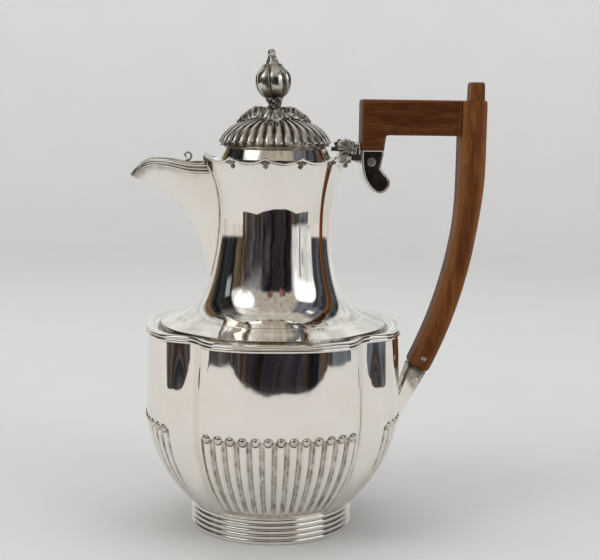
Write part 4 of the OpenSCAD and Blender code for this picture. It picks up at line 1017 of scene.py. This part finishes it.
def gripLean(z):
    return math.asin((handle["bowZ"] - z) / handle["bow"]) if z < handle["bowZ"] else 0.0


def gripDepthAt(z):
    t = float(smoothStep((z - handle["slimZ"]) / (handle["bowZ"] - handle["slimZ"])))
    return handle["endDepth"] + (handle["gripDepth"] - handle["endDepth"]) * t


def offsetOutline(points, distance):
    points = np.asarray(points, float)
    before, after = np.roll(points, 1, 0), np.roll(points, -1, 0)
    d = after - before
    d /= np.linalg.norm(d, axis=1, keepdims=True) + 1e-9
    return points + np.stack([-d[:, 1], d[:, 0]], 1) * distance


def resample(points, spacing):
    points = np.asarray(points, float)
    out = []
    for p, q in zip(points, np.roll(points, -1, 0)):
        n = max(1, int(round(np.linalg.norm(q - p) / spacing)))
        out += [p + (q - p) * k / n for k in range(n)]
    return np.array(out)


def roundedPlate(name, outline, thick, edge, material, replaced=(), recess=None, wornEdge=0.0,
                 dark=0.0, y0=0.0, spacing=1.2):
    # outline runs counter-clockwise in x and z; both faces get a rounded edge, and a recess if asked
    outline = resample(outline, spacing)
    rows = []                                # (inset, y, grime and painted shade, worn)
    if recess:
        rim, depth = recess
        rows += [(rim + 0.3, -thick / 2 + depth, dark, 0), (rim, -thick / 2 + depth, 0.9, 0),
                 (rim - 0.06, -thick / 2 + 0.6 * depth, 0.4, 0), (rim - 0.2, -thick / 2 + 0.25 * depth, 0, 0),
                 (rim - 0.38, -thick / 2 + 0.05 * depth, 0, 0)]
    for s in np.linspace(90, 0, 7):
        rows.append((edge * (1 - cosD(s)), -thick / 2 + edge * (1 - sinD(s)), 0.0, wornEdge * sinD(2 * s)))
    rows += [(q[0], -q[1], q[2], q[3]) for q in rows[::-1]]
    grid = np.array([[(p[0], y + y0, p[1]) for p in offsetOutline(outline, inset)] for inset, y, g, w in rows])
    layers = np.array(rows)
    return gridPiece(name, grid, material, replaced, capped=True, grimeAndShade=layers[:, 2:3],
                     worn=layers[:, 3:4], sharp=42)


def makeArm():
    x0, x1 = handle["armX"], handle["armX"] + handle["socketDepth"]
    low, top = handle["armLow"], armTop
    outline = [(x0, handle["socketZ"]), (x1, handle["socketZ"])] + arcPoints(x1 + 1.9, low - 1.2, 1.2, 180, 90, 6) \
        + [(gripIn - 0.05, low), (gripIn - 0.05, top)] + arcPoints(x0 + 1.4, top - 1.4, 1.4, 90, 180, 6)
    roundedPlate("woodenArm", outline, handle["thick"], handle["round"], woodAlong, ["handle_arm"],
                 wornEdge=0.45)


def makeGrip():
    heights = np.concatenate([[0, 0.35, 0.9, 1.6], np.linspace(2.4, handle["bowZ"] - handle["endZ"], 50),
                              np.linspace(handle["bowZ"] - handle["endZ"], armTop - handle["endZ"], 14)[1:-1],
                              [armTop - handle["endZ"] - 0.5, armTop - handle["endZ"]]]) + handle["endZ"]
    shrink = np.ones(len(heights))
    shrink[:4] = [0.78, 0.88, 0.94, 0.98]
    shrink[-2:] = [0.975, 0.9]
    rings, worn = [], []
    for z, k in zip(heights, shrink):
        lean, d, w = gripLean(z), gripDepthAt(z) / 2, handle["thick"] / 2
        ring, edge = [], []
        for s in circle(56):
            x, y = oblong(s, 7)
            x, y = x * d * k, y * w * (1 + k) / 2
            ring.append((gripMid(z) + x * math.cos(lean), y, z - x * math.sin(lean)))
            edge.append(0.5 * max(0, abs(sinD(2 * s))) ** 6)
        rings.append(ring)
        worn.append(edge)
    gridPiece("woodenGrip", np.array(rings), woodUp, ["handle_grip"], capped=True,
              worn=np.array(worn), sharp=50)


def makePeg():
    turn = circle(56)
    pegMid = handle["gripX"] - 1.2 - handle["pegDepth"] / 2
    rings = []
    for z, k in [(armTop - 0.6, 1), (armTop + 0.2, 1), (armTop + 4, 0.985), (armTop + handle["pegH"] - 1.3, 0.97),
                 (armTop + handle["pegH"] - 0.45, 0.9), (armTop + handle["pegH"], 0.74)]:
        x, y = oblong(turn, 8)
        x, y = pegMid + k * handle["pegDepth"] / 2 * x, k * (handle["thick"] - 3) / 2 * y
        rings.append(np.stack([x, y, np.full(len(turn), z)], -1))
    gridPiece("gripPeg", np.array(rings), woodUp, capped=True, sharp=50)


makeArm()
makeGrip()
makePeg()

# sockets and hinge


def makeUpperSocket():
    x0, z0, d = handle["armX"], handle["socketZ"], handle["socketDepth"]
    toe, toeR = (x0 + d - 1.8, z0 - 15.4), 5.0
    curve = (x0, z0 - 4), (x0 + 0.2, z0 - 12), (x0 + 2.5, z0 - 19), (toe[0], toe[1] - toeR)
    outline = [(x0, z0)] + [tuple(bezier(*curve, i / 12)) for i in range(12)]
    outline += arcPoints(toe[0], toe[1], toeR, -90, 60, 18)
    outline += [(toe[0] + 0.6, toe[1] + 7), (x0 + d, z0 - 2.4), (x0 + d, z0)]
    roundedPlate("upperSocket", outline, handle["socketThick"], 0.6, agedSilver,
                 ["upper_socket"], recess=(1.15, 0.4), dark=1.0, spacing=0.7)


makeUpperSocket()


def makeLowerSocket():
    lean = gripLean(handle["endZ"])
    mid = np.array([gripMid(handle["endZ"]), handle["endZ"]])
    along = np.array([math.cos(lean), -math.sin(lean)])
    mouthMid = mid - 0.3 * np.array([math.sin(lean), math.cos(lean)])
    mouth = [mouthMid - along * handle["endDepth"] * 0.47, mouthMid + along * handle["endDepth"] * 0.47]
    feet = (handle["strapTop"], 2), (handle["strapFoot"], 1)     # height, mm inside the belly's wall
    low = [np.array([float(bellyR(z)) - sunk, z]) for z, sunk in feet]
    rings, dirtAndShade = [], []
    for t in np.concatenate([np.linspace(0, 0.9, 24), [0.93, 0.96, 0.985, 1.0]]):
        ends = [low[k] + (mouth[k] - low[k]) * t for k in (0, 1)]
        centre, halfX = (ends[0] + ends[1]) / 2, (ends[1] - ends[0]) / 2
        sag = 1.1 * math.sin(math.pi * min(1, t))         # the straps are slightly hollow
        halfY = handle["socketThick"] / 2 * (0.75 + 0.15 * t) * (1 - 0.05 * max(0, t - 0.95) / 0.05)
        ring, layer = [], []
        for s in circle(40):
            u, y = oblong(s, 9)
            y *= halfY
            p = centre + halfX * u
            ring.append((p[0] - sag * 0.35 * max(0, u), y, p[1] + sag * 0.15 * max(0, u)))
            above, under = smoothStep((t - 0.66) / 0.12), smoothStep((t - 0.3) / 0.3)
            layer.append(min(1, 0.85 * above + 0.5 * (u < -0.9) * under))
        rings.append(ring)
        dirtAndShade.append(layer)
    gridPiece("lowerSocket", np.array(rings), silver, ["lower_socket"], capped=True,
              grimeAndShade=np.array(dirtAndShade), sharp=50)


makeLowerSocket()


hingeShell = {
    "width": 9.2, "height": 6.6, "depth": 2.4, "ribs": 9,
    # the cast mass behind the barrel: its outline in x and z, and the place and width of its slices
    "mass": [(35.7, 171.0), (39.1, 168.9), (39.1, 178.4), (38.0, 179.1), (36.7, 178.3), (35.9, 176.6),
             (35.6, 173.6)],
    "slices": [(-3.4, 3.4), (0.0, 4.2), (3.4, 3.4)],
}


def makeHingeShell():
    # a ribbed cockle on each end of the barrel, above the rim
    parts = []
    for side in (-1, 1):
        a = circle(144) * degrees
        rings, dirtAndShade = [], []
        for t in np.linspace(0, 1, 20):
            grow = max(0.12, math.cos(1.5 * t) ** 0.7)
            rib = 0.5 + 0.5 * np.cos(hingeShell["ribs"] * a)
            k = (0.84 + 0.16 * rib ** 0.7 - 0.05 * (0.5 + 0.5 * np.sin(4 * a + 7 * t)) * (t > 0.1)) * grow
            x = hinge["x"] + hingeShell["width"] / 2 * k * np.cos(a) + 1.9 * t ** 2
            z = hinge["z"] + hingeShell["height"] / 2 * k * np.sin(a) - 1.5 * t ** 2
            crumple = 0.08 * np.sin(3 * a + 6 * t) * np.sin(5 * a - 4 * t) * math.sin(math.pi * t)
            y = side * (hinge["length"] / 2 + 0.05 + hingeShell["depth"] * (t * (0.9 + 0.1 * rib) + crumple))
            ring, layer = np.stack([x, y, z], -1), 0.45 + 0.55 * (1 - rib) ** 1.2
            rings.append(ring if side > 0 else ring[::-1])
            dirtAndShade.append(layer if side > 0 else layer[::-1])
        parts.append(gridPiece(f"hingeShell{side}", np.array(rings)[:, ::-1], castSilver,
                               grimeAndShade=np.array(dirtAndShade)[:, ::-1], capped=True, sharp=60))
    for y0, thick in hingeShell["slices"]:
        parts.append(roundedPlate(f"hingeMass{y0}", hingeShell["mass"], thick, 0.9, castSilver, recess=(1.3, 0.3),
                                  dark=0.9, y0=y0, spacing=0.6))
    joinPieces("hingeShells", parts, "hinge_shells")


makeHingeShell()

for nodeName, finish in {
        "base_disc": silver, "lid_seat": silver, "lid_bezel": silver, "hinge_plate": castSilver,
        "hinge_pin": pinMetal, "upper_socket_pin": darkPin, "lower_socket_pin": pinMetal, "grip_pin": pinMetal,
        "lid_hinge_leaf": castSilver, "finial_stud": agedSilver, "finial_nut": agedSilver}.items():
    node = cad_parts[nodeName]
    for place in node.material_slots:
        place.material = finish
print("handle, sockets and hinge built")

# studio

studio = {
    "floorR": 1.0, "sweepR": 0.5, "wallH": 0.75,
    "near": (0.618, 0.613, 0.602),      # cloth beside the pot, darkened as painted shade
    "far": (0.668, 0.663, 0.652),       # cloth behind it, lightened as painted light
    "backdrop": (0.785, 0.78, 0.77),    # top of the backdrop, lightest, as painted light
    "front": (0.615, 0.60, 0.585),      # cloth between the pot and the table's edge, darkest, as painted shade
    "world": (0.80, 0.81, 0.83), "worldLevel": 0.72,
    "lamps": {
        "left": {"at": (-1.1, -0.5, 1.1), "size": 0.9, "watts": 9, "colour": (1, 0.99, 0.97)},
        "right": {"at": (1.0, -0.7, 0.9), "size": 0.8, "watts": 5, "colour": (1, 1, 1)},
        "top": {"at": (0.0, 0.2, 1.5), "size": 1.2, "watts": 6, "colour": (1, 1, 1)},
    },
}


def makeFloor():
    profile = [(0.0005, 0.0)] + [(r, 0.0) for r in np.linspace(0.1, studio["floorR"], 10)]
    profile += [(studio["floorR"] + studio["sweepR"] * sinD(s), studio["sweepR"] * (1 - cosD(s)))
                for s in np.linspace(5, 90, 18)]
    profile = np.array(profile + [(studio["floorR"] + studio["sweepR"], studio["wallH"])])
    grid = polarGrid(profile[:, 0:1], circle(128)[None, :], profile[:, 1:2])
    mesh = newMesh("studioFloor", grid, gridQuads(*grid.shape[:2])[:, ::-1])
    mesh.shade_smooth()
    floor = newObject("studioFloor", mesh)
    material, tree, shader = newMaterial("paleCloth")
    vector = objectCoords(tree)
    weave = noiseNode(tree, vector, 14, 4)
    split = tree.nodes.new("ShaderNodeSeparateXYZ")
    tree.links.new(objectCoords(tree), split.inputs[0])
    away, height = split.outputs[1], split.outputs[2]
    # painted light and shade: the cloth is darker beside the pot and in front of it, and lighter behind it and up
    # the backdrop
    tone = mixNode(tree, rangeNode(tree, away, 0.0, 0.45, 0, 1), studio["near"], studio["far"])
    tone = mixNode(tree, rangeNode(tree, height, 0.0, 0.35, 0, 1), tone, studio["backdrop"])
    tone = mixNode(tree, rangeNode(tree, away, -0.06, -0.16, 0, 1), tone, studio["front"])
    shade = rampNode(tree, weave, [(0.3, (0.975, 0.975, 0.975)), (0.7, (1, 1, 1))])
    feedAll(tree, shader, {"Base Color": mixNode(tree, 1.0, tone, shade, "MULTIPLY"), "Roughness": 0.9,
                           "Specular IOR Level": 0.1})
    mesh.materials.append(material)


def makeLights():
    world = bpy.data.worlds.new("studioWorld")
    world.use_nodes = True
    back = world.node_tree.nodes["Background"]
    back.inputs[0].default_value = (*studio["world"], 1)
    back.inputs[1].default_value = studio["worldLevel"]
    bpy.context.scene.world = world
    for name, lamp in studio["lamps"].items():
        data = bpy.data.lights.new(name + "Lamp", "AREA")
        data.size = lamp["size"]
        data.energy = lamp["watts"]
        data.color = lamp["colour"]
        thing = newObject(name + "Lamp", data)
        place = np.array(lamp["at"], float)
        aim = np.array([0, 0, 0.1]) - place
        z = -aim / np.linalg.norm(aim)
        x = np.cross([0, 0, 1], z)
        x = x / (np.linalg.norm(x) + 1e-9)
        y = np.cross(z, x)
        thing.matrix_world = poseOf(x, y, z, place)
        thing.visible_glossy = False
        thing.visible_camera = False


# what the silver mirrors: soft-edged patches on a dome, by azimuth (0 is the front, grows toward the handle)
# and elevation in degrees; later patches lie over earlier ones
room = {
    "centre": (0, 0, 0.12), "radius": 0.95, "edgeY": -0.42, "edgeTop": 0.13, "edgeHalf": 0.50,
    "mottle": 0.30, "streaks": 0.42,
    "base": (0.68, 0.69, 0.68),
    # azimuth from and to, elevation from and to, softness of the edge, radius of the corners, colour
    "patches": {
        "ceiling": ((-200, 200), (64, 120), 10, 1, (0.48, 0.45, 0.39)),
        "ceilingLeft": ((-150, -20), (58, 76), 14, 8, (0.56, 0.55, 0.52)),
        "wallFront": ((-40, 100), (26, 66), 8, 4, (0.40, 0.366, 0.312)),
        "table": ((-200, 200), (-60, -4), 0.5, 0.5, (0.66, 0.635, 0.615)),
        "lowLeft": ((-86, -58), (-60, 20), 3, 1, (0.085, 0.062, 0.040)),
        "darkLeft": ((-137, -83), (-60, 58), 2, 4, (0.022, 0.023, 0.025)),
        "darkLeftTop": ((-132, -84), (46, 63), 5, 4, (0.115, 0.108, 0.10)),
        "brownLeft": ((-142, -130), (-60, 44), 4, 4, (0.15, 0.10, 0.055)),
        "paneLeft": ((-97, -87), (10, 25), 2, 1, (0.30, 0.33, 0.37)),
        "greyRight": ((42, 130), (36, 63), 5, 6, (0.137, 0.15, 0.17)),
        "darkRight": ((74, 128), (-60, 44), 3, 3, (0.050, 0.052, 0.060)),
        "windowLeft": ((-79, -40), (22, 52), 2, 15, (1.35, 1.36, 1.36)),
        "bandLight": ((-86, -70), (54, 64), 7, 3, (0.85, 0.85, 0.85)),
        "tableLeft": ((-200, -58), (-60, -4.2), 0.4, 0.4, (0.66, 0.635, 0.615)),
        "tableRight": ((68, 200), (-60, -4.2), 0.4, 0.4, (0.66, 0.635, 0.615)),
        "figure": ((-28, 31), (-60, 28), 3, 7, (0.021, 0.018, 0.023)),
        "figureArm": ((-37, -26), (-60, 24), 3, 5, (0.040, 0.038, 0.043)),
        "figureSleeve": ((-48, -34), (-60, 20), 4, 4, (0.050, 0.047, 0.052)),
        "sillLeft": ((-62, -28), (12, 25), 7, 4, (0.22, 0.22, 0.23)),
        "figureHem": ((-61, -44), (-60, 17), 4, 3, (0.058, 0.053, 0.056)),
        "brownSide": ((-68, -60), (-60, 7), 3, 2, (0.085, 0.055, 0.034)),
        "figureCuff": ((-19, -10), (-3, 12), 3, 3, (0.055, 0.050, 0.055)),
        "handLeft": ((-15, -4), (26, 35), 2, 4, (0.22, 0.115, 0.085)),
        "handRight": ((7, 18), (24, 33), 2, 3, (0.19, 0.10, 0.085)),
        "edgeRight": ((28, 70), (-60, -6), 1.5, 1, (0.05, 0.045, 0.045)),
        "clothOne": ((-41, -36), (-60, -7), 2, 1, (0.070, 0.040, 0.028)),
        "clothTwo": ((-25, -20), (-60, -8), 2, 1, (0.058, 0.034, 0.026)),
        "clothThree": ((-9, -6), (-60, -8), 1.5, 1, (0.040, 0.026, 0.023)),
        "clothFour": ((14, 18), (-60, -8), 1.5, 1, (0.045, 0.029, 0.025)),
        "clothFive": ((29, 35), (-60, -8), 2, 1, (0.060, 0.038, 0.028)),
        "clothBlue": ((46, 62), (-60, -8), 3, 2, (0.15, 0.17, 0.20)),
        "windowRight": ((35, 77), (7, 37), 2, 13, (1.3, 1.31, 1.32)),
        "windowRightLow": ((39, 73), (-6, 15), 2, 3, (0.74, 0.75, 0.76)),
        "sash": ((46, 48.5), (-6, 13), 1, 0.5, (0.12, 0.11, 0.11)),
        "fleck": ((50, 55), (1, 7), 2, 2, (0.40, 0.40, 0.42)),
        "streak": ((73, 90), (52, 57), 2, 2, (0.85, 0.86, 0.88)),
    },
}


def glowAt(az, el):
    colour = np.zeros(az.shape + (3,)) + np.array(room["base"])
    for (a0, a1), (e0, e1), soft, r, paint in room["patches"].values():
        qa = np.abs(az - (a0 + a1) / 2) - (a1 - a0) / 2 + r
        qe = np.abs(el - (e0 + e1) / 2) - (e1 - e0) / 2 + r
        out = np.hypot(np.maximum(qa, 0), np.maximum(qe, 0)) + np.minimum(np.maximum(qa, qe), 0) - r
        w = smoothStep(0.5 - out / (2 * soft))[..., None]
        colour = colour * (1 - w) + np.array(paint) * w
    # uneven upright streaks in the dark parts
    sway = az + 1.6 * np.sin(el * 0.31) + 0.9 * np.sin(el * 0.83 + 1)
    streak = sum(0.5 ** (k / 3) * np.sin(f * sway + 2.1 * k + 1.3 * np.sin(0.11 * f * el))
                 for k, f in enumerate((0.23, 0.41, 0.74, 1.15, 1.9, 2.7)))
    dark = unit(1 - colour.mean(-1) / 0.22)
    gain = np.clip(1 + room["streaks"] * dark * streak, 0.35, 3.2)
    return colour * gain[..., None]


def makeRoom():
    centre = np.array(room["centre"])
    az = np.linspace(-180, 180, 481)[None, :]
    el = np.concatenate([np.linspace(-7, 70, 156), np.linspace(70, 90, 21)[1:]])[:, None]
    ce, se = cosD(el), sinD(el)
    dome = room["radius"] * np.stack(np.broadcast_arrays(ce * sinD(az), -ce * cosD(az), se), -1) + centre
    x = np.linspace(-room["edgeHalf"], room["edgeHalf"], 241)[None, :]
    foot = 0.001 + 0.0016 * (1 + np.sin(11 * x + 1) * np.sin(27 * x)) * (x < 0.25)
    z = foot + np.linspace(0, 1, 61)[:, None] * (room["edgeTop"] - foot)
    near = 1.25 * np.maximum(0, np.abs(x) - 0.34)
    edge = np.stack(np.broadcast_arrays(x, room["edgeY"] + 0.012 * np.sin(x * 9) + near, z), -1)
    for name, grid in (("roomDome", dome), ("roomEdge", edge)):
        d = grid - centre
        azimuth = np.arctan2(d[..., 0], -d[..., 1]) / degrees
        elevation = np.arctan2(d[..., 2], np.hypot(d[..., 0], d[..., 1])) / degrees
        glow = glowAt(azimuth, elevation)
        mesh = newMesh(name, grid, gridQuads(*grid.shape[:2], around=False))
        layer = mesh.color_attributes.new("glow", "FLOAT_COLOR", "POINT")
        layer.data.foreach_set("color", np.concatenate([glow, np.ones(glow.shape[:2] + (1,))], -1).ravel())
        thing = newObject(name, mesh)
        material, tree, light = newMaterial(name, "ShaderNodeEmission")
        colour = painted(tree, "glow", "Color")
        mottle = noiseNode(tree, objectCoords(tree, (1, 1, 0.45)), 9, 6, 0.65)
        level = rangeNode(tree, mottle, 0.3, 0.7, 1 - room["mottle"], 1 + room["mottle"])
        feedAll(tree, light, {"Color": colour, "Strength": level})
        mesh.materials.append(material)
        for ray in ("camera", "diffuse", "shadow", "transmission"):
            setattr(thing, "visible_" + ray, False)


makeFloor()
makeLights()
makeRoom()
print("studio set")
